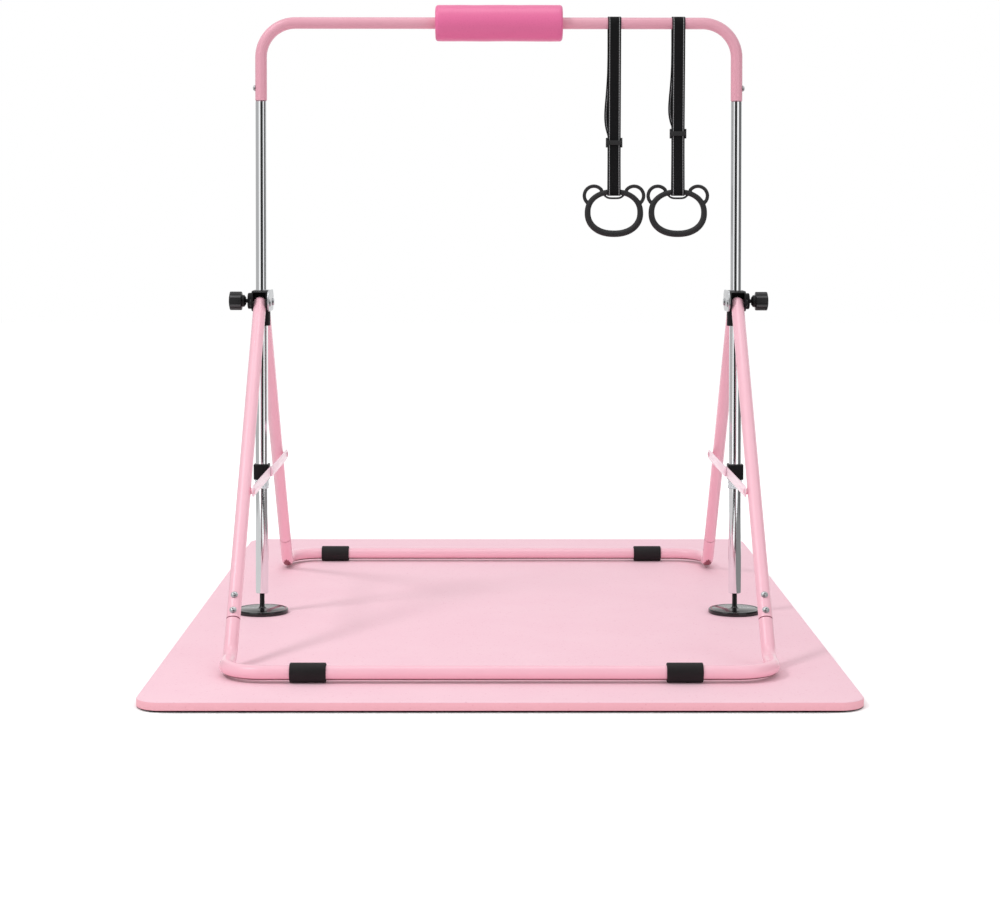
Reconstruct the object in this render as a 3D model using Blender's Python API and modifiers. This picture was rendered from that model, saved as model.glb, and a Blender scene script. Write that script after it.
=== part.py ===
"""Folding kip bar for children, standing on its floor mat.

Metres, +Z up. The origin is the centre of the mat's underside, -Y is the front and +X the right side.
"""

import math

import bmesh
import bpy
from mathutils import Vector

# Clearances
FIT_GAP = 0.0003
STRAP_SLACK = 0.0009

# Floor mat
MAT_WIDTH = 1.20
MAT_LENGTH = 1.80
MAT_THICKNESS = 0.015
MAT_CORNER = 0.045

# Where the frame stands on the mat
FRAME_SETBACK = -0.095
UPRIGHT_SPREAD = 0.944

# Tubes
LEG_DIAMETER = 0.025
LEG_WALL = 0.0012
UPPER_DIAMETER = 0.0224
UPPER_WALL = 0.0012
LOWER_WALL = 0.0010
BAR_DIAMETER = 0.0232
BAR_WALL = 0.0012
SPIGOT_LENGTH = 0.065
SWAGE_LENGTH = 0.0015

# Top bar, heights above the mat
BAR_HEIGHT = 1.1745
BAR_BEND = 0.068
BAR_LEG = 0.1535
BAR_SPIGOT = 0.050
TOP_SCREW_RISE = 0.0246
UPPER_TUBE_OVERLAP = 0.120

# Foam pad
PAD_DIAMETER = 0.072
PAD_LENGTH = 0.252
PAD_ROUNDING = 0.006

# Lower tube and its foot
LOWER_TUBE_BOTTOM = 0.040
NUT_LENGTH = 0.025
FOOT_DIAMETER = 0.104
FOOT_THICKNESS = 0.0085
FOOT_RIM = 0.0045
FOOT_HUB = 0.022
FOOT_HUB_RISE = 0.005
FOOT_ROD = 0.010
FOOT_ROD_ENGAGED = 0.047

# Hinge bracket
HINGE_HEIGHT = 0.620
HINGE_OFFSET = 0.030
BRACKET_RISE = 0.004
BRACKET_ROUND = 0.020
BRACKET_ROOF = 0.0032
CHEEK = 0.00295
CORE_DEPTH = 0.030
BRACKET_SLEEVE_DIAMETER = 0.035
BRACKET_SLEEVE_LENGTH = 0.030
TUBE_STOP = 0.004
HINGE_PIN = 0.008
HINGE_HEAD = 0.014
HINGE_HEAD_HEIGHT = 0.004
HINGE_TAIL_HEIGHT = 0.0025
PLATE_THICKNESS = 0.003
PLATE_ROUND = 0.021

# Clamp knob
KNOB_RISE = 0.003
BOSS_DIAMETER = 0.032
BOSS_LENGTH = 0.011
KNOB_ROD = 0.008
KNOB_STANDOFF = 0.004
KNOB_HUB_DIAMETER = 0.024
KNOB_HUB_LENGTH = 0.008
KNOB_DIAMETER = 0.037
KNOB_LENGTH = 0.026
KNOB_RIBS = 6
KNOB_RIB_DEPTH = 0.0012
KNOB_RIB_WIDTH = 0.0034
KNOB_EDGE = 0.0012

# Legs and bases
FOOT_REACH = 0.5415
BASE_REACH = 0.656
LEG_BEND = 0.050
CORNER_BEND = 0.068
SEAM_HEIGHT = 0.076
LEG_SCREW_RISES = (0.013, 0.044)
SLEEVE_DIAMETER = 0.0335
SLEEVE_LENGTH = 0.062
SLEEVE_ROUNDING = 0.002
FRONT_SLEEVE_PLACES = (-0.326, 0.314)
REAR_SLEEVE_PLACES = (-0.372, 0.344)

# Button-head screws
SCREW_DIAMETER = 0.006
SCREW_LENGTH = 0.010
SCREW_HEAD = 0.0105
SCREW_HEAD_HEIGHT = 0.003
WASHER_DIAMETER = 0.0125
WASHER_THICKNESS = 0.0012

# Spreader collar, stop collar and links
COLLAR_HEIGHT = 0.2827
COLLAR_WIDTH = 0.031
COLLAR_DEPTH = 0.040
COLLAR_LENGTH = 0.030
COLLAR_ROUNDING = 0.009
STOP_DIAMETER = 0.0286
STOP_LENGTH = 0.018
LINK_WIDTH = 0.020
LINK_THICKNESS = 0.0025
LINK_PIN = 0.006
LINK_PIN_HEAD = 0.011
LINK_PIN_HEAD_HEIGHT = 0.002
LINK_PIN_REACH = 0.006

# Hanging straps, rings and buckles, drops below the bar
STRAP_PLACES = (0.229, 0.356)
STRAP_WIDTH = 0.026
STRAP_THICKNESS = 0.0015
BUCKLE_DROPS = (0.2365, 0.2185)
BUCKLE_TRAVEL = 0.030
BUCKLE_WIDTH = 0.0326
BUCKLE_LENGTH = 0.019
BUCKLE_BAR_LENGTH = 0.009
BUCKLE_BAR = 0.0024
RING_BAR_DROP = 0.3339
RING_WIDTH = 0.1048
RING_HEIGHT = 0.0836
RING_FULLNESS = 2.2
RING_TOP_SECTION = 0.010
RING_BOTTOM_SECTION = 0.0128
EAR_SPREAD = 0.040
EAR_DROP = 0.008
EAR_RADIUS = 0.019
EAR_SECTION = 0.0064
BRIDGE_SPAN = 0.040
BRIDGE_POWER = 4
BRIDGE_DIP = 0.0130
BRIDGE_SECTION = 0.003

# Facet counts
ROUND_STEPS = 16
PIN_STEPS = 12
SCREW_STEPS = 8
BEND_STEPS = 5
TUBE_SIDES = 4
RING_POINTS = 32
PANEL_STEPS = 4

# Sizes that follow from the ones above
UPRIGHT_X = UPRIGHT_SPREAD / 2
LEG_RADIUS = LEG_DIAMETER / 2
UPPER_RADIUS = UPPER_DIAMETER / 2
BAR_RADIUS = BAR_DIAMETER / 2
LEG_SPIGOT_RADIUS = LEG_RADIUS - LEG_WALL - 2 * FIT_GAP
BAR_SPIGOT_RADIUS = BAR_RADIUS - BAR_WALL - 2 * FIT_GAP
BASE_HEIGHT = SLEEVE_DIAMETER / 2 + FIT_GAP
BAR_END_HEIGHT = BAR_HEIGHT - BAR_LEG
BRACKET_HEIGHT = HINGE_HEIGHT + BRACKET_RISE
BRACKET_BOTTOM = BRACKET_HEIGHT - BRACKET_ROUND
BRACKET_SLEEVE_BOTTOM = BRACKET_BOTTOM - BRACKET_SLEEVE_LENGTH
LOWER_TUBE_TOP = BRACKET_BOTTOM - TUBE_STOP
UPPER_TUBE_BOTTOM = HINGE_HEIGHT - UPPER_TUBE_OVERLAP
KNOB_HEIGHT = HINGE_HEIGHT + KNOB_RISE
FOOT_ROD_TOP = LOWER_TUBE_BOTTOM + FOOT_ROD_ENGAGED
LEG_TILT = math.atan2(FOOT_REACH - HINGE_OFFSET, HINGE_HEIGHT - BASE_HEIGHT)
LEG_SPAN = math.hypot(FOOT_REACH - HINGE_OFFSET, HINGE_HEIGHT - BASE_HEIGHT)
LEG_LENGTH = (HINGE_HEIGHT - SEAM_HEIGHT) / math.cos(LEG_TILT)
BASE_RUN = BASE_REACH - FOOT_REACH
CHEEK_INNER = LEG_RADIUS + FIT_GAP
CHEEK_OUTER = CHEEK_INNER + CHEEK
LINK_PLANE = COLLAR_WIDTH / 2 + FIT_GAP + LINK_THICKNESS / 2
LINK_PLANES = {"front": LINK_PLANE, "rear": LINK_PLANE + LINK_THICKNESS + FIT_GAP}
LINK_PIN_DROP = (HINGE_HEIGHT - COLLAR_HEIGHT) / math.cos(LEG_TILT)
LINK_LENGTH = HINGE_OFFSET + LINK_PIN_DROP * math.sin(LEG_TILT)
PLY_INNER = BUCKLE_BAR / 2 + FIT_GAP
RING_BAR_RISE = (1 - (STRAP_WIDTH / RING_WIDTH) ** RING_FULLNESS) ** (1 / RING_FULLNESS)
RING_BAR_SAG = RING_HEIGHT / 2 * (1 - RING_BAR_RISE)
STRAP_BAR_RADIUS = BAR_RADIUS + FIT_GAP
STRAP_RING_RADIUS = RING_TOP_SECTION / 2 + RING_BAR_SAG + STRAP_SLACK
ALONG_X = (0, math.pi / 2, 0)
OUTLINE_FACING_X = (math.pi / 2, 0, math.pi / 2)


def clear_scene():
    for old in list(bpy.data.objects):
        bpy.data.objects.remove(old, do_unlink=True)


def new_collection(name):
    group = bpy.data.collections.new(name)
    bpy.context.scene.collection.children.link(group)
    return group


clear_scene()
PARTS = new_collection("kip_bar")
CUTTERS = new_collection("kip_bar_cutters")


def linear(code):
    channels = [int(code[i : i + 2], 16) / 255 for i in (0, 2, 4)]
    return [c / 12.92 if c <= 0.04045 else ((c + 0.055) / 1.055) ** 2.4 for c in channels]


def new_finish(name, code, roughness, metallic=0.0):
    finish = bpy.data.materials.new(name)
    finish.use_nodes = True
    shader = finish.node_tree.nodes["Principled BSDF"]
    shader.inputs["Base Color"].default_value = (*linear(code), 1)
    shader.inputs["Roughness"].default_value = roughness
    shader.inputs["Metallic"].default_value = metallic
    return finish


BAR_PAINT = new_finish("bar_paint", "DE96A9", 0.35)
LEG_PAINT = new_finish("leg_paint", "F5B5C6", 0.35)
CHROME = new_finish("chrome", "D8DADC", 0.12, 1.0)
ZINC = new_finish("zinc", "B5B5B5", 0.35, 1.0)
BLACK_PLASTIC = new_finish("black_plastic", "2A2A2A", 0.45)
CLEAR_PLASTIC = new_finish("clear_plastic", "DADDE0", 0.15)
RUBBER = new_finish("rubber", "262626", 0.7)
FOAM = new_finish("foam", "E8659C", 0.85)
MAT_FOAM = new_finish("mat_foam", "FCD3DF", 0.8)
WEBBING = new_finish("webbing", "1C1C1E", 0.9)


def add_empty(name, location, parent=None, rotation=(0, 0, 0)):
    spot = bpy.data.objects.new(name, None)
    spot.location = location
    spot.rotation_euler = rotation
    spot.parent = parent
    PARTS.objects.link(spot)
    return spot


def add_piece(name, mesh, finish, parent, location=(0, 0, 0), rotation=(0, 0, 0)):
    """A part where a finish is given, and otherwise a shape that cuts a part or is joined to one."""
    piece = bpy.data.objects.new(name, mesh)
    piece.parent = parent
    piece.location = location
    piece.rotation_euler = rotation
    if finish:
        mesh.materials.append(finish)
        PARTS.objects.link(piece)
    else:
        piece.hide_render = True
        piece.display_type = "WIRE"
        CUTTERS.objects.link(piece)
    return piece


def combine(piece, other, operation):
    boolean = piece.modifiers.new(other.name, "BOOLEAN")
    boolean.operation = operation
    boolean.object = other
    boolean.solver = "EXACT"


def turned(name, profile, finish, parent, location=(0, 0, 0), rotation=(0, 0, 0), steps=ROUND_STEPS):
    """A profile of (radius, height) points, listed down its outer side, turned round the local Z axis."""
    count = len(profile)
    edges = [(i, i + 1) for i in range(count - 1)]
    if profile[0][0] > 0:
        edges.append((count - 1, 0))
    mesh = bpy.data.meshes.new(name)
    mesh.from_pydata([(radius, 0, height) for radius, height in profile], edges, [])
    piece = add_piece(name, mesh, finish, parent, location, rotation)
    screw = piece.modifiers.new("turn", "SCREW")
    screw.steps = steps
    screw.render_steps = steps
    screw.use_merge_vertices = True
    screw.merge_threshold = 0.00001
    return piece


def rod_profile(radius, bottom, top):
    return [(0, top), (radius, top), (radius, bottom), (0, bottom)]


def tube_profile(radius, bore, bottom, top):
    return [(radius, top), (radius, bottom), (bore, bottom), (bore, top)]


def rounded_tube_profile(radius, bore, length, rounding):
    """A tube centred on its length, with its outer edges rounded."""
    half = length / 2
    quarter = [math.radians(a) for a in (0, 45, 90)]
    inset = radius - rounding
    shoulder = half - rounding
    upper = [(inset + rounding * math.sin(a), shoulder + rounding * math.cos(a)) for a in quarter]
    lower = [(r, -z) for r, z in reversed(upper)]
    return upper + lower + [(bore, -half), (bore, half)]


def mesh_from_curve(name, curve):
    """The curve's mesh, with its caps welded on."""
    holder = bpy.data.objects.new(name, curve)
    CUTTERS.objects.link(holder)
    bpy.context.view_layer.update()
    mesh = bpy.data.meshes.new_from_object(holder.evaluated_get(bpy.context.evaluated_depsgraph_get()))
    bpy.data.objects.remove(holder)
    shape = bmesh.new()
    shape.from_mesh(mesh)
    bmesh.ops.remove_doubles(shape, verts=shape.verts, dist=0.000001)
    shape.to_mesh(mesh)
    shape.free()
    return mesh


def swept_mesh(name, path, radii, sides, closed=False, caps=False):
    """A round section carried along a path, with its radius given at each point."""
    curve = bpy.data.curves.new(name, "CURVE")
    curve.dimensions = "3D"
    curve.bevel_depth = 1.0
    curve.bevel_resolution = sides
    curve.use_fill_caps = caps
    spline = curve.splines.new("POLY")
    spline.points.add(len(path) - 1)
    for point, place, radius in zip(spline.points, path, radii):
        point.co = (*place, 1)
        point.radius = radius
    spline.use_cyclic_u = closed
    return mesh_from_curve(name, curve)


def outline_mesh(name, outlines, thickness):
    """A flat outline in the local XY plane, with any holes, given its thickness along Z."""
    curve = bpy.data.curves.new(name, "CURVE")
    curve.dimensions = "2D"
    curve.fill_mode = "BOTH"
    curve.extrude = thickness / 2
    for outline in outlines:
        spline = curve.splines.new("POLY")
        spline.points.add(len(outline) - 1)
        for point, (x, y) in zip(spline.points, outline):
            point.co = (x, y, 0, 1)
        spline.use_cyclic_u = True
    return mesh_from_curve(name, curve)


def arc(centre, radius, start, end, steps):
    angles = [start + (end - start) * i / steps for i in range(steps + 1)]
    return [(centre[0] + radius * math.cos(a), centre[1] + radius * math.sin(a)) for a in angles]


def circle(centre, radius, steps=PIN_STEPS):
    return arc(centre, radius, 0, math.tau * (1 - 1 / steps), steps - 1)


def oblong(start, end, radius, steps=8):
    """A round-ended strip from one centre to the other, along X."""
    low, high = sorted((start, end))
    right = arc((high, 0), radius, -math.pi / 2, math.pi / 2, steps)
    left = arc((low, 0), radius, math.pi / 2, 3 * math.pi / 2, steps)
    return right + left


def rounded_rectangle(width, depth, rounding, steps=4):
    points = []
    for quarter, (x, y) in enumerate(((1, 1), (-1, 1), (-1, -1), (1, -1))):
        centre = (x * (width / 2 - rounding), y * (depth / 2 - rounding))
        start = quarter * math.pi / 2
        points += arc(centre, rounding, start, start + math.pi / 2, steps)
    return points


def bend_path(corners):
    """Corners as (point, bend radius), with each bend drawn as an arc."""
    path = []
    for index, (corner, radius) in enumerate(corners):
        if not radius:
            path.append(corner)
            continue
        back = (corners[index - 1][0] - corner).normalized()
        ahead = (corners[index + 1][0] - corner).normalized()
        half = back.angle(ahead) / 2
        centre = corner + (back + ahead).normalized() * radius / math.sin(half)
        first = corner + back * radius / math.tan(half) - centre
        axis = back.cross(ahead)
        sweep = math.pi - 2 * half
        side = axis.cross(first).normalized() * -radius
        for step in range(BEND_STEPS + 1):
            angle = sweep * step / BEND_STEPS
            path.append(centre + first * math.cos(angle) + side * math.sin(angle))
    return path


def bent_tube(name, path, radii, wall, finish, parent):
    mesh = swept_mesh(name, path, radii, TUBE_SIDES)
    piece = add_piece(name, mesh, finish, parent)
    hollow = piece.modifiers.new("wall", "SOLIDIFY")
    hollow.thickness = wall
    hollow.offset = -1
    return piece


def button_screw(name, finish, parent, location, rotation):
    """A button-head screw on its washer: the washer's underside is at the local origin."""
    head = SCREW_HEAD / 2
    rise = WASHER_THICKNESS + SCREW_HEAD_HEIGHT
    dome = [
        (head * math.sin(a), WASHER_THICKNESS + SCREW_HEAD_HEIGHT * math.cos(a))
        for a in (math.radians(d) for d in (45, 90))
    ]
    profile = [(0, rise)] + dome + [
        (WASHER_DIAMETER / 2, WASHER_THICKNESS),
        (WASHER_DIAMETER / 2, 0),
        (SCREW_DIAMETER / 2, 0),
        (SCREW_DIAMETER / 2, -SCREW_LENGTH),
        (0, -SCREW_LENGTH),
    ]
    return turned(name, profile, finish, parent, location, rotation, SCREW_STEPS)


def cut_hole(piece, name, radius, bottom, top, location, rotation, parent):
    """A round hole along the local Z axis of the given place."""
    cutter = turned(name, rod_profile(radius, bottom, top), None, parent, location, rotation, PIN_STEPS)
    combine(piece, cutter, "DIFFERENCE")
    return cutter


def box_cutter(name, low, high, parent):
    size = Vector(high) - Vector(low)
    shape = bmesh.new()
    bmesh.ops.create_cube(shape, size=1.0)
    bmesh.ops.scale(shape, vec=size, verts=shape.verts)
    bmesh.ops.translate(shape, vec=(Vector(high) + Vector(low)) / 2, verts=shape.verts)
    mesh = bpy.data.meshes.new(name)
    shape.to_mesh(mesh)
    shape.free()
    return add_piece(name, mesh, None, parent)


def build_mat():
    outline = rounded_rectangle(MAT_WIDTH, MAT_LENGTH, MAT_CORNER)
    mesh = outline_mesh("mat", [outline], MAT_THICKNESS)
    add_piece("mat", mesh, MAT_FOAM, None, (0, 0, MAT_THICKNESS / 2))


def build_upright(side, upright):
    """The lower tube, its nut and foot, and the stop collar. Locally +X points outwards."""
    bore = LEG_RADIUS - LOWER_WALL
    around = LEG_RADIUS + FIT_GAP
    tube = tube_profile(LEG_RADIUS, bore, LOWER_TUBE_BOTTOM, LOWER_TUBE_TOP)
    turned(f"lower_tube_{side}", tube, CHROME, upright)
    nut_top = LOWER_TUBE_BOTTOM + NUT_LENGTH
    nut = tube_profile(bore - FIT_GAP, FOOT_ROD / 2 + FIT_GAP, LOWER_TUBE_BOTTOM, nut_top)
    turned(f"foot_nut_{side}", nut, ZINC, upright)
    stop_top = COLLAR_HEIGHT - COLLAR_LENGTH / 2 - FIT_GAP
    stop = tube_profile(STOP_DIAMETER / 2, around, stop_top - STOP_LENGTH, stop_top)
    turned(f"stop_collar_{side}", stop, CLEAR_PLASTIC, upright)

    disc = FOOT_DIAMETER / 2
    top = FOOT_THICKNESS + FIT_GAP
    rod = FOOT_ROD / 2
    foot = [
        (0, FOOT_ROD_TOP),
        (rod, FOOT_ROD_TOP),
        (rod, top + FOOT_HUB_RISE),
        (FOOT_HUB / 2, top),
        (disc - FOOT_RIM, top),
        (disc, top - FOOT_RIM),
        (disc, FIT_GAP),
        (0, FIT_GAP),
    ]
    turned(f"foot_{side}", foot, BLACK_PLASTIC, upright)

    collar_outline = rounded_rectangle(COLLAR_WIDTH, COLLAR_DEPTH, COLLAR_ROUNDING)
    collar_bore = circle((0, 0), around, ROUND_STEPS)
    collar_mesh = outline_mesh(f"collar_{side}", [collar_outline, collar_bore], COLLAR_LENGTH)
    add_piece(f"collar_{side}", collar_mesh, BLACK_PLASTIC, upright, (0, 0, COLLAR_HEIGHT))


def build_bracket(side, upright):
    """The hinge bracket: cheeks round the leg tops, core and sleeve round the tubes, and the clamp boss."""
    width = 2 * CHEEK_OUTER
    cheeks = outline_mesh("bracket", [oblong(-HINGE_OFFSET, HINGE_OFFSET, BRACKET_ROUND)], width)
    bracket = add_piece(
        f"hinge_bracket_{side}", cheeks, BLACK_PLASTIC, upright, (0, 0, BRACKET_HEIGHT), OUTLINE_FACING_X
    )
    shoulder = BRACKET_HEIGHT - PLATE_ROUND - FIT_GAP
    sleeve_profile = [
        (0, BRACKET_HEIGHT),
        (CORE_DEPTH / 2, BRACKET_HEIGHT),
        (CORE_DEPTH / 2, shoulder),
        (BRACKET_SLEEVE_DIAMETER / 2, shoulder),
        (BRACKET_SLEEVE_DIAMETER / 2, BRACKET_SLEEVE_BOTTOM),
        (0, BRACKET_SLEEVE_BOTTOM),
    ]
    sleeve = turned(f"sleeve_{side}", sleeve_profile, None, upright)
    combine(bracket, sleeve, "UNION")
    for face in (-1, 1):
        near = face * CORE_DEPTH / 2
        far = face * (HINGE_OFFSET + 2 * BRACKET_ROUND)
        low = (-CHEEK_INNER, min(near, far), BRACKET_BOTTOM - FIT_GAP)
        high = (CHEEK_INNER, max(near, far), BRACKET_HEIGHT + BRACKET_ROUND - BRACKET_ROOF)
        combine(bracket, box_cutter(f"leg_slot_{side}_{face}", low, high, upright), "DIFFERENCE")
    boss_profile = rod_profile(BOSS_DIAMETER / 2, CHEEK_OUTER - CHEEK / 2, CHEEK_OUTER + BOSS_LENGTH)
    boss = turned(f"boss_{side}", boss_profile, None, upright, (0, 0, KNOB_HEIGHT), ALONG_X)
    combine(bracket, boss, "UNION")
    wide = LEG_RADIUS + FIT_GAP
    narrow = UPPER_RADIUS + FIT_GAP
    step = LOWER_TUBE_TOP + FIT_GAP
    bore_profile = [
        (0, BRACKET_HEIGHT + 2 * BRACKET_ROUND),
        (narrow, BRACKET_HEIGHT + 2 * BRACKET_ROUND),
        (narrow, step),
        (wide, step),
        (wide, BRACKET_SLEEVE_BOTTOM - BRACKET_ROUND),
        (0, BRACKET_SLEEVE_BOTTOM - BRACKET_ROUND),
    ]
    bore = turned(f"bore_{side}", bore_profile, None, upright)
    combine(bracket, bore, "DIFFERENCE")
    rod_hole = KNOB_ROD / 2 + FIT_GAP
    past_boss = CHEEK_OUTER + 2 * BOSS_LENGTH
    cut_hole(bracket, f"rod_hole_{side}", rod_hole, 0, past_boss, (0, 0, KNOB_HEIGHT), ALONG_X, upright)

    pin_hole = HINGE_PIN / 2 + FIT_GAP
    holes = [circle((face * HINGE_OFFSET, HINGE_HEIGHT - BRACKET_HEIGHT), pin_hole) for face in (-1, 1)]
    plate_outlines = [oblong(-HINGE_OFFSET, HINGE_OFFSET, PLATE_ROUND)] + holes
    plate_mesh = outline_mesh(f"hinge_plate_{side}", plate_outlines, PLATE_THICKNESS)
    plate_place = (-CHEEK_OUTER - FIT_GAP - PLATE_THICKNESS / 2, 0, BRACKET_HEIGHT)
    add_piece(f"hinge_plate_{side}", plate_mesh, ZINC, upright, plate_place, OUTLINE_FACING_X)

    outer = CHEEK_OUTER + FIT_GAP
    inner = -CHEEK_OUTER - PLATE_THICKNESS - 2 * FIT_GAP
    head = HINGE_HEAD / 2
    pin = HINGE_PIN / 2
    pin_profile = [
        (0, outer + HINGE_HEAD_HEIGHT),
        (head, outer + HINGE_HEAD_HEIGHT),
        (head, outer),
        (pin, outer),
        (pin, inner),
        (head, inner),
        (head, inner - HINGE_TAIL_HEIGHT),
        (0, inner - HINGE_TAIL_HEIGHT),
    ]
    outwards = 1 if side == "right" else -1
    for face, end in ((-1, "front"), (1, "rear")):
        place = (0, face * outwards * HINGE_OFFSET, HINGE_HEIGHT)
        cut_hole(bracket, f"pin_hole_{end}_{side}", pin_hole, -width, width, place, ALONG_X, upright)
        turned(f"hinge_pin_{end}_{side}", pin_profile, ZINC, upright, place, ALONG_X, PIN_STEPS)


def build_knob(side, upright):
    """The clamp knob: a ribbed grip and hub on a screw whose tip ends at the upper tube."""
    knob_spot = add_empty(f"knob_axis_{side}", (0, 0, KNOB_HEIGHT), upright, ALONG_X)
    hub_start = CHEEK_OUTER + BOSS_LENGTH + KNOB_STANDOFF
    grip_start = hub_start + KNOB_HUB_LENGTH
    panel = KNOB_DIAMETER / 2 - KNOB_RIB_DEPTH
    rib_half = KNOB_RIB_WIDTH / KNOB_DIAMETER
    outline = []
    for rib in range(KNOB_RIBS):
        middle = math.tau * rib / KNOB_RIBS
        foot = middle + 2 * rib_half
        outline += arc((0, 0), KNOB_DIAMETER / 2, middle - rib_half, middle + rib_half, 1)
        outline += arc((0, 0), panel, foot, foot + math.tau / KNOB_RIBS - 4 * rib_half, PANEL_STEPS)
    grip_mesh = outline_mesh(f"knob_{side}", [outline], KNOB_LENGTH)
    grip_middle = grip_start + KNOB_LENGTH / 2
    grip = add_piece(f"knob_{side}", grip_mesh, BLACK_PLASTIC, knob_spot, (0, 0, grip_middle))
    edge = grip.modifiers.new("edge", "BEVEL")
    edge.width = KNOB_EDGE
    edge.limit_method = "ANGLE"
    edge.angle_limit = math.radians(80)
    stem_profile = [
        (0, grip_middle),
        (KNOB_HUB_DIAMETER / 2, grip_middle),
        (KNOB_HUB_DIAMETER / 2, hub_start),
        (KNOB_ROD / 2, hub_start),
        (KNOB_ROD / 2, UPPER_RADIUS + FIT_GAP),
        (0, UPPER_RADIUS + FIT_GAP),
    ]
    stem = turned(f"knob_stem_{side}", stem_profile, None, knob_spot)
    combine(grip, stem, "UNION")


def build_leg(end, side, x, hinge):
    """One leg with the pin hole at its domed top. Locally the leg runs straight down from its hinge."""
    quarter = [math.radians(a) for a in (30, 60, 90)]
    bore = LEG_RADIUS - LEG_WALL
    outer = [(LEG_RADIUS * math.sin(a), LEG_RADIUS * math.cos(a)) for a in quarter]
    inner = [(bore * math.sin(a), bore * math.cos(a)) for a in reversed(quarter)]
    bottom = [(LEG_RADIUS, -LEG_LENGTH), (bore, -LEG_LENGTH)]
    profile = [(0, LEG_RADIUS)] + outer + bottom + inner + [(0, bore)]
    leg = turned(f"{end}_leg_{side}", profile, LEG_PAINT, hinge, (x, 0, 0))
    pin_hole = HINGE_PIN / 2 + FIT_GAP
    cutter = f"leg_pin_hole_{end}_{side}"
    cut_hole(leg, cutter, pin_hole, -LEG_DIAMETER, LEG_DIAMETER, (x, 0, 0), ALONG_X, hinge)
    return leg


def build_base(end, face, hinge):
    """The bent base tube: spigots into both legs, runs out along the mat and a cross tube between them."""
    ahead = Vector((0, face * math.cos(LEG_TILT), -math.sin(LEG_TILT)))
    left = [
        (Vector((-UPRIGHT_X, 0, SPIGOT_LENGTH - LEG_LENGTH)), 0),
        (Vector((-UPRIGHT_X, 0, -LEG_LENGTH - FIT_GAP)), 0),
        (Vector((-UPRIGHT_X, 0, -LEG_LENGTH - FIT_GAP - SWAGE_LENGTH)), 0),
        (Vector((-UPRIGHT_X, 0, -LEG_SPAN)), LEG_BEND),
        (Vector((-UPRIGHT_X, 0, -LEG_SPAN)) + ahead * BASE_RUN, CORNER_BEND),
    ]
    right = [(Vector((-point.x, point.y, point.z)), bend) for point, bend in reversed(left)]
    path = bend_path(left + right)
    spigots = (0, 1, len(path) - 2, len(path) - 1)
    radii = [LEG_SPIGOT_RADIUS if i in spigots else LEG_RADIUS for i in range(len(path))]
    base = bent_tube(f"{end}_base", path, radii, LEG_WALL, LEG_PAINT, hinge)
    places = FRONT_SLEEVE_PLACES if end == "front" else REAR_SLEEVE_PLACES
    sleeve = rounded_tube_profile(SLEEVE_DIAMETER / 2, LEG_RADIUS + FIT_GAP, SLEEVE_LENGTH, SLEEVE_ROUNDING)
    cross = Vector((0, 0, -LEG_SPAN)) + ahead * BASE_RUN
    for side, x in zip(("left", "right"), places):
        turned(f"{end}_sleeve_{side}", sleeve, RUBBER, hinge, cross + Vector((x, 0, 0)), ALONG_X)
    return base


def build_leg_screws(end, face, side, x, leg, base, hinge):
    outwards = (-face * math.pi / 2, 0, 0)
    hole = SCREW_DIAMETER / 2 + FIT_GAP
    for rise, level in zip(LEG_SCREW_RISES, ("lower", "upper")):
        name = f"{end}_screw_{level}_{side}"
        place = (x, face * (LEG_RADIUS + FIT_GAP), rise - LEG_LENGTH)
        button_screw(name, ZINC, hinge, place, outwards)
        cutter = cut_hole(leg, f"{name}_hole", hole, -LEG_RADIUS / 2, LEG_RADIUS, place, outwards, hinge)
        combine(base, cutter, "DIFFERENCE")


def build_link(end, face, side, x, leg, hinge):
    """A flat link on the leg's inner side, from its pin in the leg to the collar's flat side.

    The rear link's end lies over the front link's end and carries the rivet head.
    """
    inwards = -1 if side == "right" else 1
    plane = LINK_PLANES[end]
    turn = (0, inwards * math.pi / 2, 0)
    pin_place = (x, 0, -LINK_PIN_DROP)
    hole = LINK_PIN / 2 + FIT_GAP
    cut_hole(leg, f"link_hole_{end}_{side}", hole, LINK_PIN_REACH / 2, LEG_DIAMETER, pin_place, turn, hinge)
    near = plane - LINK_THICKNESS / 2 - FIT_GAP
    far = plane + LINK_THICKNESS / 2 + FIT_GAP
    head = LINK_PIN_HEAD / 2
    pin = LINK_PIN / 2
    pin_profile = [
        (0, far + LINK_PIN_HEAD_HEIGHT),
        (head, far + LINK_PIN_HEAD_HEIGHT),
        (head, far),
        (pin, far),
        (pin, near),
        (head, near),
        (head, LEG_RADIUS + FIT_GAP),
        (pin, LEG_RADIUS + FIT_GAP),
        (pin, LINK_PIN_REACH),
        (0, LINK_PIN_REACH),
    ]
    turned(f"link_pin_{end}_{side}", pin_profile, ZINC, hinge, pin_place, turn, PIN_STEPS)

    link_axis = add_empty(f"link_axis_{end}_{side}", pin_place, hinge, (-face * LEG_TILT, 0, 0))
    outlines = [oblong(0, -face * LINK_LENGTH, LINK_WIDTH / 2), circle((0, 0), hole)]
    mesh = outline_mesh(f"{end}_link_{side}", outlines, LINK_THICKNESS)
    link_place = (inwards * plane, 0, 0)
    link = add_piece(f"{end}_link_{side}", mesh, LEG_PAINT, link_axis, link_place, OUTLINE_FACING_X)
    if end == "rear":
        rivet_profile = rod_profile(head, plane, plane + LINK_THICKNESS / 2 + LINK_PIN_HEAD_HEIGHT)
        rivet_place = (0, -face * LINK_LENGTH, 0)
        rivet = turned(f"link_rivet_{side}", rivet_profile, None, link_axis, rivet_place, turn, PIN_STEPS)
        combine(link, rivet, "UNION")


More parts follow.
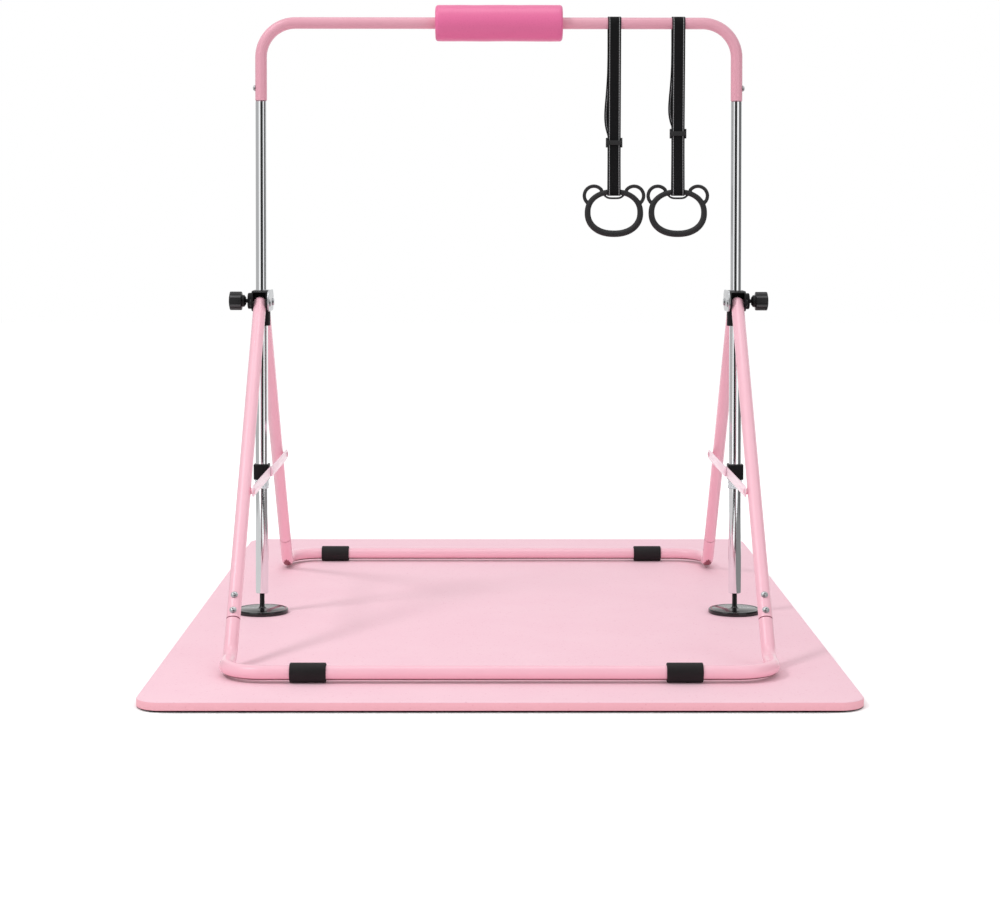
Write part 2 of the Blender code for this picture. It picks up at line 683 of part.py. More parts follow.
def build_leg_frame(end, face, frame):
    tilt = (face * LEG_TILT, 0, 0)
    hinge = add_empty(f"{end}_hinge", (0, face * HINGE_OFFSET, HINGE_HEIGHT), frame, tilt)
    base = build_base(end, face, hinge)
    for side, sign in (("left", -1), ("right", 1)):
        x = sign * UPRIGHT_X
        leg = build_leg(end, side, x, hinge)
        build_leg_screws(end, face, side, x, leg, base, hinge)
        build_link(end, face, side, x, leg, hinge)


def build_top_bar(frame):
    """The bent bar, its pad, and the upper tubes that plug into its ends."""
    bar_axis = add_empty("bar_axis", (0, 0, BAR_HEIGHT), frame)
    drop = BAR_END_HEIGHT - BAR_HEIGHT
    left = [(Vector((-UPRIGHT_X, 0, drop)), 0), (Vector((-UPRIGHT_X, 0, 0)), BAR_BEND)]
    right = [(Vector((-point.x, point.y, point.z)), bend) for point, bend in reversed(left)]
    path = bend_path(left + right)
    bar = bent_tube("top_bar", path, [BAR_RADIUS] * len(path), BAR_WALL, BAR_PAINT, bar_axis)
    pad = rounded_tube_profile(PAD_DIAMETER / 2, BAR_RADIUS + FIT_GAP, PAD_LENGTH, PAD_ROUNDING)
    turned("foam_pad", pad, FOAM, bar_axis, (0, 0, 0), ALONG_X)

    seat = BAR_END_HEIGHT - FIT_GAP
    narrow_bore = BAR_SPIGOT_RADIUS - UPPER_WALL
    tube = [
        (BAR_SPIGOT_RADIUS, BAR_END_HEIGHT + BAR_SPIGOT),
        (BAR_SPIGOT_RADIUS, seat),
        (UPPER_RADIUS, seat - SWAGE_LENGTH),
        (UPPER_RADIUS, UPPER_TUBE_BOTTOM),
        (UPPER_RADIUS - UPPER_WALL, UPPER_TUBE_BOTTOM),
        (UPPER_RADIUS - UPPER_WALL, seat - SWAGE_LENGTH),
        (narrow_bore, seat),
        (narrow_bore, BAR_END_HEIGHT + BAR_SPIGOT),
    ]
    hole = SCREW_DIAMETER / 2 + FIT_GAP
    for side, sign in (("left", -1), ("right", 1)):
        upper = turned(f"upper_tube_{side}", tube, CHROME, frame, (sign * UPRIGHT_X, 0, 0))
        place = (sign * (UPRIGHT_X + BAR_RADIUS + FIT_GAP), 0, drop + TOP_SCREW_RISE)
        outwards = (0, sign * math.pi / 2, 0)
        button_screw(f"top_screw_{side}", ZINC, bar_axis, place, outwards)
        name = f"top_hole_{side}"
        cutter = cut_hole(bar, name, hole, -BAR_RADIUS / 2, BAR_RADIUS, place, outwards, bar_axis)
        combine(upper, cutter, "DIFFERENCE")
    return bar_axis


def strap_outline(offset, pinch_top, pinch_bottom):
    """One face of the strap's loop, as (depth, height) from the bar's centre: round the bar, flat and
    parallel through the buckle, and round the ring's bar."""
    ply = PLY_INNER + offset
    top_radius = STRAP_BAR_RADIUS + offset
    ring_radius = STRAP_RING_RADIUS + offset
    top_angle = math.atan2(pinch_top, ply) + math.acos(top_radius / math.hypot(ply, pinch_top))
    rise = pinch_bottom + RING_BAR_DROP
    ring_angle = math.atan2(rise, ply) - math.acos(ring_radius / math.hypot(ply, rise))
    over_bar = arc((0, 0), top_radius, top_angle, math.pi - top_angle, 2 * BEND_STEPS)
    ring_ends = (math.pi - ring_angle, math.tau + ring_angle)
    under_ring = arc((0, -RING_BAR_DROP), ring_radius, *ring_ends, 2 * BEND_STEPS)
    left = [(-ply, pinch_top), (-ply, pinch_bottom)]
    right = [(ply, pinch_bottom), (ply, pinch_top)]
    return over_bar + left + under_ring + right


def build_strap(side, place, buckle_drop, bar_axis):
    """A webbing loop over the bar, with the slide buckle on it and the ring hanging in its lower end."""
    swing = add_empty(f"strap_axis_{side}", (place, 0, 0), bar_axis)
    pinch_top = BUCKLE_LENGTH / 2 + FIT_GAP - buckle_drop
    pinch_bottom = -BUCKLE_LENGTH / 2 - BUCKLE_TRAVEL - FIT_GAP - buckle_drop
    outlines = [strap_outline(offset, pinch_top, pinch_bottom) for offset in (STRAP_THICKNESS, 0)]
    mesh = outline_mesh(f"strap_{side}", outlines, STRAP_WIDTH)
    add_piece(f"strap_{side}", mesh, WEBBING, swing, (0, 0, 0), OUTLINE_FACING_X)

    slot = STRAP_THICKNESS + 2 * FIT_GAP
    slot_centre = PLY_INNER + STRAP_THICKNESS / 2
    depth = 2 * (slot_centre + slot / 2 + BUCKLE_BAR)
    slot_width = STRAP_WIDTH + 2 * FIT_GAP
    outlines = [rounded_rectangle(BUCKLE_WIDTH, depth, BUCKLE_BAR / 2, 1)]
    for face in (-1, 1):
        hole = rounded_rectangle(slot_width, slot, slot / 4, 1)
        outlines.append([(x, y + face * slot_centre) for x, y in hole])
    mesh = outline_mesh(f"buckle_{side}", outlines, BUCKLE_LENGTH)
    buckle = add_piece(f"buckle_{side}", mesh, BLACK_PLASTIC, swing, (0, 0, -buckle_drop))
    for face in (-1, 1):
        for level in (-1, 1):
            depths = sorted((face * slot_centre, face * depth))
            heights = sorted((level * BUCKLE_BAR_LENGTH / 2, level * BUCKLE_LENGTH))
            low = (-slot_width / 2, depths[0], heights[0] - buckle_drop)
            high = (slot_width / 2, depths[1], heights[1] - buckle_drop)
            cutter = box_cutter(f"buckle_cut_{side}_{face}_{level}", low, high, swing)
            combine(buckle, cutter, "DIFFERENCE")


def build_ring(side, place, bar_axis):
    """The moulded ring: an oval grip that thickens downwards, two round ears and a bridge under the strap."""
    hang = add_empty(f"ring_axis_{side}", (place, 0, -RING_BAR_DROP), bar_axis)
    half_width = RING_WIDTH / 2
    half_height = RING_HEIGHT / 2
    power = 2 / RING_FULLNESS
    path = []
    radii = []
    for index in range(RING_POINTS):
        angle = math.tau * index / RING_POINTS
        across = math.copysign(abs(math.sin(angle)) ** power, math.sin(angle))
        up = math.copysign(abs(math.cos(angle)) ** power, math.cos(angle))
        path.append(Vector((half_width * across, 0, half_height * (up - 1))))
        share = (1 - math.cos(angle)) / 2
        radii.append((RING_TOP_SECTION + (RING_BOTTOM_SECTION - RING_TOP_SECTION) * share) / 2)
    ring = add_piece(f"ring_{side}", swept_mesh("ring", path, radii, 3, closed=True), BLACK_PLASTIC, hang)

    reach = math.hypot(EAR_SPREAD, half_height - EAR_DROP)
    outwards = math.atan2(half_height - EAR_DROP, EAR_SPREAD)
    rim = 1 / math.hypot(math.cos(outwards) / half_width, math.sin(outwards) / half_height)
    sweep = math.acos((rim - reach) / EAR_RADIUS)
    for sign, name in ((-1, "left"), (1, "right")):
        points = arc((EAR_SPREAD, -EAR_DROP), EAR_RADIUS, outwards - sweep, outwards + sweep, 2 * BEND_STEPS)
        ear_path = [Vector((sign * x, 0, z)) for x, z in points]
        mesh = swept_mesh("ear", ear_path, [EAR_SECTION / 2] * len(ear_path), 2, caps=True)
        combine(ring, add_piece(f"ear_{side}_{name}", mesh, None, hang), "UNION")
    bridge = []
    for step in range(BEND_STEPS + 2):
        x = BRIDGE_SPAN * (step / (BEND_STEPS + 1) - 1 / 2)
        rise = (BRIDGE_DIP - RING_TOP_SECTION / 2) * (2 * x / BRIDGE_SPAN) ** BRIDGE_POWER
        bridge.append(Vector((x, 0, rise - BRIDGE_DIP)))
    mesh = swept_mesh("bridge", bridge, [BRIDGE_SECTION / 2] * len(bridge), 2, caps=True)
    combine(ring, add_piece(f"bridge_{side}", mesh, None, hang), "UNION")


def main():
    build_mat()
    frame = add_empty("frame", (0, FRAME_SETBACK, MAT_THICKNESS))
    for side, sign in (("left", -1), ("right", 1)):
        turn = (0, 0, 0) if side == "right" else (0, 0, math.pi)
        upright = add_empty(f"upright_{side}", (sign * UPRIGHT_X, 0, 0), frame, turn)
        build_upright(side, upright)
        build_bracket(side, upright)
        build_knob(side, upright)
    build_leg_frame("front", -1, frame)
    build_leg_frame("rear", 1, frame)
    bar_axis = build_top_bar(frame)
    for side, place, buckle_drop in zip(("left", "right"), STRAP_PLACES, BUCKLE_DROPS):
        build_strap(side, place, buckle_drop, bar_axis)
        build_ring(side, place, bar_axis)


main()
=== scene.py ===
import math

import bmesh
import bpy
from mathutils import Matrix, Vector


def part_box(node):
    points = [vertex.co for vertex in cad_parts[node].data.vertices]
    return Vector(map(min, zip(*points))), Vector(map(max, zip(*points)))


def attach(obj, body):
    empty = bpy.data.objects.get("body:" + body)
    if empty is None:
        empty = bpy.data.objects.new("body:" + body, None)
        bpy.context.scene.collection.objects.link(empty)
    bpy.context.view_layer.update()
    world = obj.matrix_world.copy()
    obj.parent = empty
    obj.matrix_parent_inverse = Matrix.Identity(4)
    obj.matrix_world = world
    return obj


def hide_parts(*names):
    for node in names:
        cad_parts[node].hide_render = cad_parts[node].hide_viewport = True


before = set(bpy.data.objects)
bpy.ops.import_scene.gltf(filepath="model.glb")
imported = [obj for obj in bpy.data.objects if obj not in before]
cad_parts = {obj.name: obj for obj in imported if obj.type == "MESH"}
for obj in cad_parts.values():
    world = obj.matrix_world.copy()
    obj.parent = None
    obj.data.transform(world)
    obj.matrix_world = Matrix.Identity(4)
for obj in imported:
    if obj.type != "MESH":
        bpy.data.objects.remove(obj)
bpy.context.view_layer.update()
print("frame loaded:", len(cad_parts), "nodes")

# where the frame stands, in metres from the middle of the mat's underside
uprightX, frameY = 0.472, -0.095
barZ, hingeZ, hingeOffset = 1.1895, 0.635, 0.030
legTilt = math.radians(40.3088)
# the play between pieces that slide or turn in one another
fitGap = 0.0003
# cutters stand out this far, so that they pass right through
cutReach = 0.08
# points closer than this are welded into one
weldReach = 0.000002
alongX = (0, math.pi / 2, 0)


def deselectAll():
    bpy.ops.object.select_all(action="DESELECT")


def selectAll():
    bpy.ops.mesh.select_all(action="SELECT")


def setMode(mode):
    bpy.ops.object.mode_set(mode=mode)


def makeActive(piece):
    deselectAll()
    piece.select_set(True)
    bpy.context.view_layer.objects.active = piece


def namedPiece(name):
    piece = bpy.context.object
    piece.name = name
    piece.data.name = name
    return piece


def pickVerts(piece, test):
    bpy.ops.mesh.select_mode(type="VERT")
    bpy.ops.mesh.select_all(action="DESELECT")
    shape = bmesh.from_edit_mesh(piece.data)
    for vert in shape.verts:
        if test(vert):
            vert.select_set(True)
    shape.select_flush_mode()
    bmesh.update_edit_mesh(piece.data)


def extrudeBy(move):
    bpy.ops.mesh.extrude_region_move(TRANSFORM_OT_translate={"value": move})


def closeUp():
    # doubles merged and faces turned outwards, then back to object mode
    selectAll()
    bpy.ops.mesh.remove_doubles(threshold=weldReach)
    bpy.ops.mesh.normals_make_consistent(inside=False)
    setMode("OBJECT")


def applyModifier(piece, kind, **settings):
    makeActive(piece)
    modifier = piece.modifiers.new(kind.lower(), kind)
    for key, value in settings.items():
        setattr(modifier, key, value)
    bpy.ops.object.modifier_apply(modifier=modifier.name)


def combine(piece, other, operation):
    applyModifier(piece, "BOOLEAN", object=other, operation=operation, solver="EXACT")
    bpy.data.objects.remove(other)


def roundEdges(piece, width, segments=2):
    sharp = math.radians(50)
    applyModifier(piece, "BEVEL", width=width, segments=segments, limit_method="ANGLE", angle_limit=sharp)


def settle():
    bpy.ops.object.transform_apply(location=True, rotation=True, scale=True)


def place(piece, location=(0, 0, 0), rotation=(0, 0, 0)):
    makeActive(piece)
    piece.location = location
    piece.rotation_euler = rotation
    settle()
    return piece


def copyPiece(piece, name, move=(0, 0, 0)):
    makeActive(piece)
    bpy.ops.object.duplicate()
    return place(namedPiece(name), move)


def mirrorPiece(piece, name):
    # the same piece on the other side of the middle plane
    twin = copyPiece(piece, name)
    twin.scale.x = -1
    settle()
    setMode("EDIT")
    selectAll()
    bpy.ops.mesh.flip_normals()
    closeUp()
    return twin


def joinPieces(name, *parts):
    makeActive(parts[0])
    for part in parts[1:]:
        part.select_set(True)
    bpy.ops.object.join()
    return namedPiece(name)


def pointPiece(name, spot):
    # one vertex in edit mode, ready to be drawn out to a line
    deselectAll()
    bpy.ops.mesh.primitive_plane_add(size=0.01)
    piece = namedPiece(name)
    setMode("EDIT")
    bpy.ops.mesh.merge(type="CENTER")
    bpy.ops.transform.translate(value=spot)
    return piece


def spunPiece(name, profile, steps):
    # a line of (radius, height) points drawn from one vertex and spun round the upright axis
    piece = pointPiece(name, (profile[0][0], 0, profile[0][1]))
    for (lastRadius, lastHeight), (radius, height) in zip(profile, profile[1:]):
        extrudeBy((radius - lastRadius, 0, height - lastHeight))
    selectAll()
    bpy.ops.mesh.spin(steps=steps, angle=math.tau, center=(0, 0, 0), axis=(0, 0, 1))
    closeUp()
    return piece


def roundedCorner(radius, height, rounding, steps=4):
    # a quarter round of a profile, from the top of a corner to its side
    angles = [math.radians(90 - 90 * step / steps) for step in range(steps + 1)]
    return [(radius + rounding * math.cos(a), height + rounding * math.sin(a)) for a in angles]


def domeLine(radius, height, bottom, points=6, degrees=15):
    # the profile of a dome, from its top outwards
    angles = [math.radians(degrees * step) for step in range(points)]
    return [(radius * math.sin(a), bottom + height * math.cos(a)) for a in angles]


def bentTube(name, radius, corners, wall, bendSteps):
    # an open circle, extruded along the straight runs and spun round the bends
    start = corners[0][0]
    ahead = (corners[1][0] - start).normalized()
    deselectAll()
    bpy.ops.mesh.primitive_circle_add(
        vertices=48, radius=radius, location=start, rotation=ahead.to_track_quat("Z", "Y").to_euler()
    )
    piece = namedPiece(name)
    settle()
    setMode("EDIT")
    selectAll()
    here = start
    for (corner, bend), (following, _) in zip(corners[1:-1], corners[2:]):
        back = (here - corner).normalized()
        ahead = (following - corner).normalized()
        half = back.angle(ahead) / 2
        reach = bend / math.tan(half)
        centre = corner + (back + ahead).normalized() * bend / math.sin(half)
        extrudeBy(corner + back * reach - here)
        axis = ahead.cross(back).normalized()
        bpy.ops.mesh.spin(steps=bendSteps, angle=2 * half - math.pi, center=centre, axis=axis)
        here = corner + ahead * reach
    extrudeBy(corners[-1][0] - here)
    closeUp()
    applyModifier(piece, "SOLIDIFY", thickness=wall, offset=-1, use_even_offset=True)
    return piece


def oblongPlate(name, halfLength, radius, thick):
    # a disc pulled out to a round-ended plate along Y, standing in the YZ plane
    deselectAll()
    bpy.ops.mesh.primitive_circle_add(vertices=96, radius=radius, fill_type="NGON")
    piece = namedPiece(name)
    setMode("EDIT")
    for side in (-1, 1):
        pickVerts(piece, lambda vert: side * vert.co.y > radius * 0.001)
        bpy.ops.transform.translate(value=(0, side * halfLength, 0))
    selectAll()
    extrudeBy((0, 0, thick))
    closeUp()
    return place(piece, (thick / 2, 0, 0), (0, -math.pi / 2, 0))


def roundedSlab(name, low, high, corner, steps):
    # a flat block about the upright axis, its four upright edges rounded
    deselectAll()
    bpy.ops.mesh.primitive_plane_add(size=1)
    slab = namedPiece(name)
    slab.scale = (high[0] - low[0], high[1] - low[1], 1)
    place(slab, (0, 0, low[2]))
    setMode("EDIT")
    selectAll()
    bpy.ops.mesh.bevel(offset=corner, segments=steps, affect="VERTICES")
    selectAll()
    extrudeBy((0, 0, high[2] - low[2]))
    closeUp()
    return slab


def boxPiece(name, low, high):
    deselectAll()
    bpy.ops.mesh.primitive_cube_add(size=1)
    piece = namedPiece(name)
    piece.scale = [b - a for a, b in zip(low, high)]
    return place(piece, [(a + b) / 2 for a, b in zip(low, high)])


def rodPiece(name, radius, bottom, top, steps):
    return spunPiece(name, [(0, top), (radius, top), (radius, bottom), (0, bottom)], steps)


def cutAcross(piece, radius, spot=(0, 0, 0), start=-cutReach):
    # a hole along X, with room for its pin to turn
    hole = rodPiece("crossHole", radius + fitGap, start, cutReach, steps=32)
    combine(piece, place(hole, spot, alongX), "DIFFERENCE")


def rodAlong(name, points, radiusAt, closed=False):
    # a vertex drawn along the points, turned into a round rod whose radius follows its height
    pointPiece(name, points[0])
    for last, point in zip(points, points[1:]):
        extrudeBy(point - last)
    if closed:
        extrudeBy(points[0] - points[-1])
        selectAll()
        bpy.ops.mesh.remove_doubles(threshold=weldReach)
    setMode("OBJECT")
    bpy.ops.object.convert(target="CURVE")
    rod = bpy.context.object
    rod.data.bevel_depth = 1.0
    rod.data.bevel_resolution = 8
    rod.data.use_fill_caps = not closed
    for point in rod.data.splines[0].points:
        point.radius = radiusAt(point.co.z)
    bpy.ops.object.convert(target="MESH")
    setMode("EDIT")
    closeUp()
    return bpy.context.object


def dress(piece, material, body, slot, *nodes, angle=35):
    makeActive(piece)
    bpy.ops.object.shade_smooth_by_angle(angle=math.radians(angle))
    piece.data.materials.clear()
    piece.data.materials.append(material)
    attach(piece, body)
    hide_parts(*nodes)
    return piece


def dressPair(piece, material, body, slot, node):
    # a right piece and its mirrored left twin; braces in the body's name stand for the side
    twin = mirrorPiece(piece, piece.name.replace("Right", "Left"))
    for one, side in ((piece, "right"), (twin, "left")):
        dress(one, material, body.format(side), slot, node + "_" + side)
    return piece, twin


def recolour(piece, material, test):
    # a second material on the faces that pass the test
    piece.data.materials.append(material)
    for face in piece.data.polygons:
        face.material_index = int(test(face))


# materials

def linearColour(code):
    channels = [int(code[i:i + 2], 16) / 255 for i in (1, 3, 5)]
    return [c / 12.92 if c <= 0.04045 else ((c + 0.055) / 1.055) ** 2.4 for c in channels] + [1.0]


def addNode(tree, kind, inputs=None, **settings):
    node = tree.nodes.new("ShaderNode" + kind)
    for key, value in settings.items():
        setattr(node, key, value)
    for key, value in (inputs or {}).items():
        if isinstance(value, bpy.types.NodeSocket):
            tree.links.new(value, node.inputs[key])
        else:
            node.inputs[key].default_value = value
    return node


def maths(tree, operation, first, second=0.0):
    return addNode(tree, "Math", {0: first, 1: second}, operation=operation).outputs["Value"]


def mapped(tree, value, toMin, toMax, fromMin=0.0, fromMax=1.0):
    limits = {"From Min": fromMin, "From Max": fromMax, "To Min": toMin, "To Max": toMax}
    return addNode(tree, "MapRange", {"Value": value, **limits}).outputs["Result"]


def mixed(tree, factor, first, second):
    return addNode(tree, "Mix", {"Factor": factor, 6: first, 7: second}, data_type="RGBA").outputs[2]


def noise(tree, where, sizeMm, detail, roughness):
    look = {"Vector": where, "Scale": 1000 / sizeMm, "Detail": detail, "Roughness": roughness}
    return addNode(tree, "TexNoise", look).outputs["Fac"]


def wave(tree, where, direction, periodMm, distortion=0.0):
    # a wave texture repeats every tau/20 of its own units
    scale = math.tau / 20 * 1000 / periodMm
    look = {"Vector": where, "Scale": scale, "Distortion": distortion, "Detail": 1.0}
    return addNode(tree, "TexWave", look, bands_direction=direction).outputs["Fac"]


def emptyTree(block):
    block.use_nodes = True
    block.node_tree.nodes.clear()
    return block.node_tree


def startMaterial(name, **values):
    material = bpy.data.materials.new(name)
    material.use_nodes = True
    tree = material.node_tree
    for key, value in values.items():
        tree.nodes["Principled BSDF"].inputs[key.replace("_", " ")].default_value = value
    return material, tree


def finishMaterial(material, colour, gloss, height, depthMm):
    tree = material.node_tree
    bump = addNode(tree, "Bump", {"Height": height, "Distance": depthMm / 1000, "Strength": 1.0})
    shader = tree.nodes["Principled BSDF"]
    for socket, name in ((colour, "Base Color"), (gloss, "Roughness"), (bump.outputs["Normal"], "Normal")):
        tree.links.new(socket, shader.inputs[name])
    return material


def grainedMaterial(name, light, dark, patchMm, grainMm, grainDepthMm, roughness, **values):
    # two close tones in broad patches, with a fine grain that moves the roughness and the bump
    material, tree = startMaterial(name, **values)
    where = addNode(tree, "TexCoord").outputs["Object"]
    patches = noise(tree, where, patchMm, detail=3.0, roughness=0.55)
    grain = noise(tree, where, grainMm, detail=2.0, roughness=0.6)
    tone = mixed(tree, patches, linearColour(dark), linearColour(light))
    gloss = mapped(tree, grain, toMin=roughness * 0.85, toMax=roughness * 1.15)
    return finishMaterial(material, tone, gloss, grain, grainDepthMm)


# powder-coated steel: even pink with a soft gloss and the faint orange peel of baked powder
barPaint = grainedMaterial("powderCoatRose", "#E8AABA", "#E09EAF", 120, 2.5, 0.002, 0.26)
legPaint = grainedMaterial("powderCoatPink", "#FBC6D4", "#F7BDCC", 120, 2.5, 0.002, 0.22)
# the rolled end of a leg at the seam: a dark rose that is painted shade of the groove where leg and base
# meet, so the joint reads as a dark line
seamShadePaint = grainedMaterial("powderCoatSeamShade", "#8E3F58", "#7E344C", 20, 1.5, 0.02, 0.6)
# the underside of a base: dull paint in a dark rose that is painted shade where the tube faces down at the
# mat, so the tube shows a dark line at its bottom
undersideShadePaint = grainedMaterial("powderCoatUndersideShade", "#94505E", "#884654", 30, 1.5, 0.02, 0.5)
# painted link strip: the same paint in a paler pink
linkPaint = grainedMaterial("powderCoatPale", "#FBDDE8", "#F6D0DE", 60, 2.5, 0.015, 0.25)
# chromed steel tube: mirror bright, with the faintest drift in gloss from polishing
chrome = grainedMaterial("chromedSteel", "#F4F5F6", "#EAECEE", 90, 40, 0.0004, 0.07, Metallic=1.0)
# zinc-plated steel: softer grey shine with a cloudy passivation
zinc = grainedMaterial("zincPlatedSteel", "#C9CBCD", "#AFB1B3", 8, 1.2, 0.01, 0.32, Metallic=1.0)
# blackened steel pins: near black with a soft oily shine
darkSteel = grainedMaterial(
    "blackenedSteel", "#1E1E1F", "#171718", 10, 1.0, 0.01, 0.40, Specular_IOR_Level=0.25
)
# moulded ABS: black with a fine spark-eroded grain that breaks up the shine
blackAbs = grainedMaterial("mouldedAbs", "#1D1D1E", "#171718", 40, 0.8, 0.03, 0.44, Specular_IOR_Level=0.10)
# glossy polypropylene feet: black and smooth, so they mirror the room at a flat angle
polypropylene = grainedMaterial("mouldedPolypropylene", "#161617", "#111112", 40, 1.5, 0.004, 0.14)
# moulded nylon knobs: black with a low shine, and a greyer tone on the rib tops that is a painted highlight,
# where the rounded ridges would catch the light
knobPlastic = grainedMaterial(
    "mouldedNylon", "#222223", "#1B1B1C", 40, 0.8, 0.01, 0.36, Specular_IOR_Level=0.22
)
ribHighlightPlastic = grainedMaterial("nylonRibHighlight", "#4C4C4D", "#424243", 10, 0.8, 0.02, 0.40, Specular_IOR_Level=0.4)
# plastic of the rings and buckles: dark grey and evenly matt, from a blasted mould
ringPlastic = grainedMaterial("blastedAbs", "#2C2C2D", "#262627", 40, 0.8, 0.02, 0.55, Specular_IOR_Level=0.3)
# rubber sleeve: dull black with a dusty bloom
rubber = grainedMaterial("blackRubber", "#211F20", "#1A1819", 30, 1.0, 0.04, 0.62, Specular_IOR_Level=0.25)
# clear PVC: see-through with a slight haze from moulding
clearPvc = grainedMaterial(
    "clearPvc", "#F3F5F6", "#E8EBED", 20, 2.0, 0.01, 0.12, Transmission_Weight=0.85, IOR=1.52
)


def foamMaterial(name, light, dark, poreMm, depthMm, speckShade, speckShare, roughness, **values):
    # closed-cell foam: matt, with small cells in the skin and a few darker specks
    material, tree = startMaterial(name, **values)
    where = addNode(tree, "TexCoord").outputs["Object"]
    cells = addNode(tree, "TexVoronoi", {"Vector": where, "Scale": 1000 / poreMm}, feature="F1").outputs
    patches = noise(tree, where, sizeMm=140, detail=4.0, roughness=0.6)
    tone = mixed(tree, patches, linearColour(dark), linearColour(light))
    chance = addNode(tree, "SeparateColor", {"Color": cells["Color"]}).outputs["Red"]
    rare = mapped(tree, chance, toMin=0.0, toMax=0.7, fromMin=1 - speckShare)
    core = mapped(tree, cells["Distance"], toMin=1.0, toMax=0.0, fromMin=0.25, fromMax=0.55)
    skin = mixed(tree, maths(tree, "MULTIPLY", rare, core), tone, linearColour(speckShade))
    gloss = mapped(tree, patches, toMin=roughness * 0.92, toMax=roughness * 1.06)
    return finishMaterial(material, skin, gloss, cells["Distance"], depthMm)


# EVA mat foam: pale pink and matt, with specks drawn at 4 mm so that they show at this distance
matFoam = foamMaterial("evaMatFoam", "#FCD5E0", "#F8CAD8", 4.0, 0.12, "#E8AFC1", 0.10, 0.72)
# the mat's sides and underside: the same foam, a little rougher, in a deeper pink that is painted shade for
# the sides
matSideShade = foamMaterial("evaFoamSideShade", "#FEBECA", "#FBB6C3", 3.0, 0.15, "#EFA3B2", 0.10, 0.80)
# NBR pad foam: strong pink, its smooth skin a little shiny
padFoam = foamMaterial(
    "nbrPadFoam", "#EA6EA2", "#E26498", 1.6, 0.05, "#D2538A", 0.25, 0.42, Specular_IOR_Level=0.7
)


def webbingMaterial():
    # polyester webbing: near black ribbed weave, with a dotted grey thread line woven in along both edges
    material, tree = startMaterial("wovenWebbing", Specular_IOR_Level=0.15)
    where = addNode(tree, "UVMap").outputs["UV"]
    ribs = wave(tree, where, "X", periodMm=1.8, distortion=0.4)
    ends = wave(tree, where, "Y", periodMm=1.2, distortion=0.3)
    weave = maths(tree, "MULTIPLY", ribs, ends)
    tone = mixed(tree, weave, linearColour("#0E0E0F"), linearColour("#1E1E20"))
    # the thread line: dots every 3.2 mm, 3.4 mm in from each edge, drawn 1.4 mm wide so that they show
    across = addNode(tree, "SeparateXYZ", {"Vector": where}).outputs["Y"]
    lineOut = 0.0096
    offLine = maths(tree, "SUBTRACT", maths(tree, "ABSOLUTE", across), lineOut)
    offLine = maths(tree, "ABSOLUTE", offLine)
    line = mapped(tree, offLine, toMin=1.0, toMax=0.0, fromMin=0.0004, fromMax=0.0008)
    dots = wave(tree, where, "X", periodMm=3.2)
    dots = mapped(tree, dots, toMin=0.25, toMax=1.0, fromMin=0.2, fromMax=0.7)
    colour = mixed(tree, maths(tree, "MULTIPLY", line, dots), tone, linearColour("#B4B4B6"))
    gloss = mapped(tree, weave, toMin=0.85, toMax=0.65)
    return finishMaterial(material, colour, gloss, weave, depthMm=0.3)


webbing = webbingMaterial()
print("materials ready")


# floor mat
matShape = {"corner": 0.045, "cornerSteps": 14, "edge": 0.0022, "edgeSteps": 4, "sideShadeSlope": 0.5, "fill": 1.0}


def buildMat():
    mat = roundedSlab("floorMat", *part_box("mat"), matShape["corner"], matShape["cornerSteps"])
    roundEdges(mat, matShape["edge"], matShape["edgeSteps"])
    dress(mat, matFoam, "floor_mat", "mat_foam", "mat")
    # the faces that turn sideways or down take the painted side shade
    recolour(mat, matSideShade, lambda face: face.normal.z < matShape["sideShadeSlope"])


buildMat()
print("mat laid")


# top bar, its foam pad and the chromed upper tubes
barShape = {"radius": 0.0116, "bend": 0.068, "bendSteps": 20, "legLength": 0.1535, "wall": 0.0012}
padShape = {
    "radius": 0.036, "length": 0.252, "rounding": 0.006, "dish": 0.0018, "halfSteps": 12,
    "unevenness": 0.0012, "cloudSize": 0.06, "fill": 0.95,
}
upperShape = {
    "radius": 0.0112, "wall": 0.0012, "bottom": 0.515, "neck": 0.0098, "neckLength": 0.050, "swage": 0.0015,
}
barEnd = barZ - barShape["legLength"]


def buildBar():
    bend = barShape["bend"]
    corners = [(-uprightX, barEnd, 0), (-uprightX, barZ, bend), (uprightX, barZ, bend), (uprightX, barEnd, 0)]
    corners = [(Vector((x, frameY, z)), turn) for x, z, turn in corners]
    bar = bentTube("topBar", barShape["radius"], corners, barShape["wall"], barShape["bendSteps"])
    dress(bar, barPaint, "bar", "bar_paint", "top_bar")


def buildPad():
    half, radius, steps = padShape["length"] / 2, padShape["radius"], padShape["halfSteps"]
    rounding, dish = padShape["rounding"], padShape["dish"]
    bore = barShape["radius"] + fitGap
    upper = [(bore, half - dish), (bore + rounding, half - dish / 2)]
    upper += roundedCorner(radius - rounding, half - rounding, rounding)
    runs = [(radius, (half - rounding) * (1 - step / steps)) for step in range(1, 2 * steps)]
    lower = [(r, -h) for r, h in reversed(upper)]
    pad = spunPiece("foamPad", upper + runs + lower + [upper[0]], steps=72)
    skin = pad.vertex_groups.new(name="skin")
    skin.add([v.index for v in pad.data.vertices if v.co.xy.length > bore + rounding], 1.0, "REPLACE")
    clouds = bpy.data.textures.new("foamUnevenness", "CLOUDS")
    clouds.noise_scale = padShape["cloudSize"]
    applyModifier(
        pad, "DISPLACE", texture=clouds, strength=padShape["unevenness"], mid_level=0.5, vertex_group="skin"
    )
    place(pad, (0, frameY, barZ), alongX)
    dress(pad, padFoam, "bar", "foam", "foam_pad", angle=60)


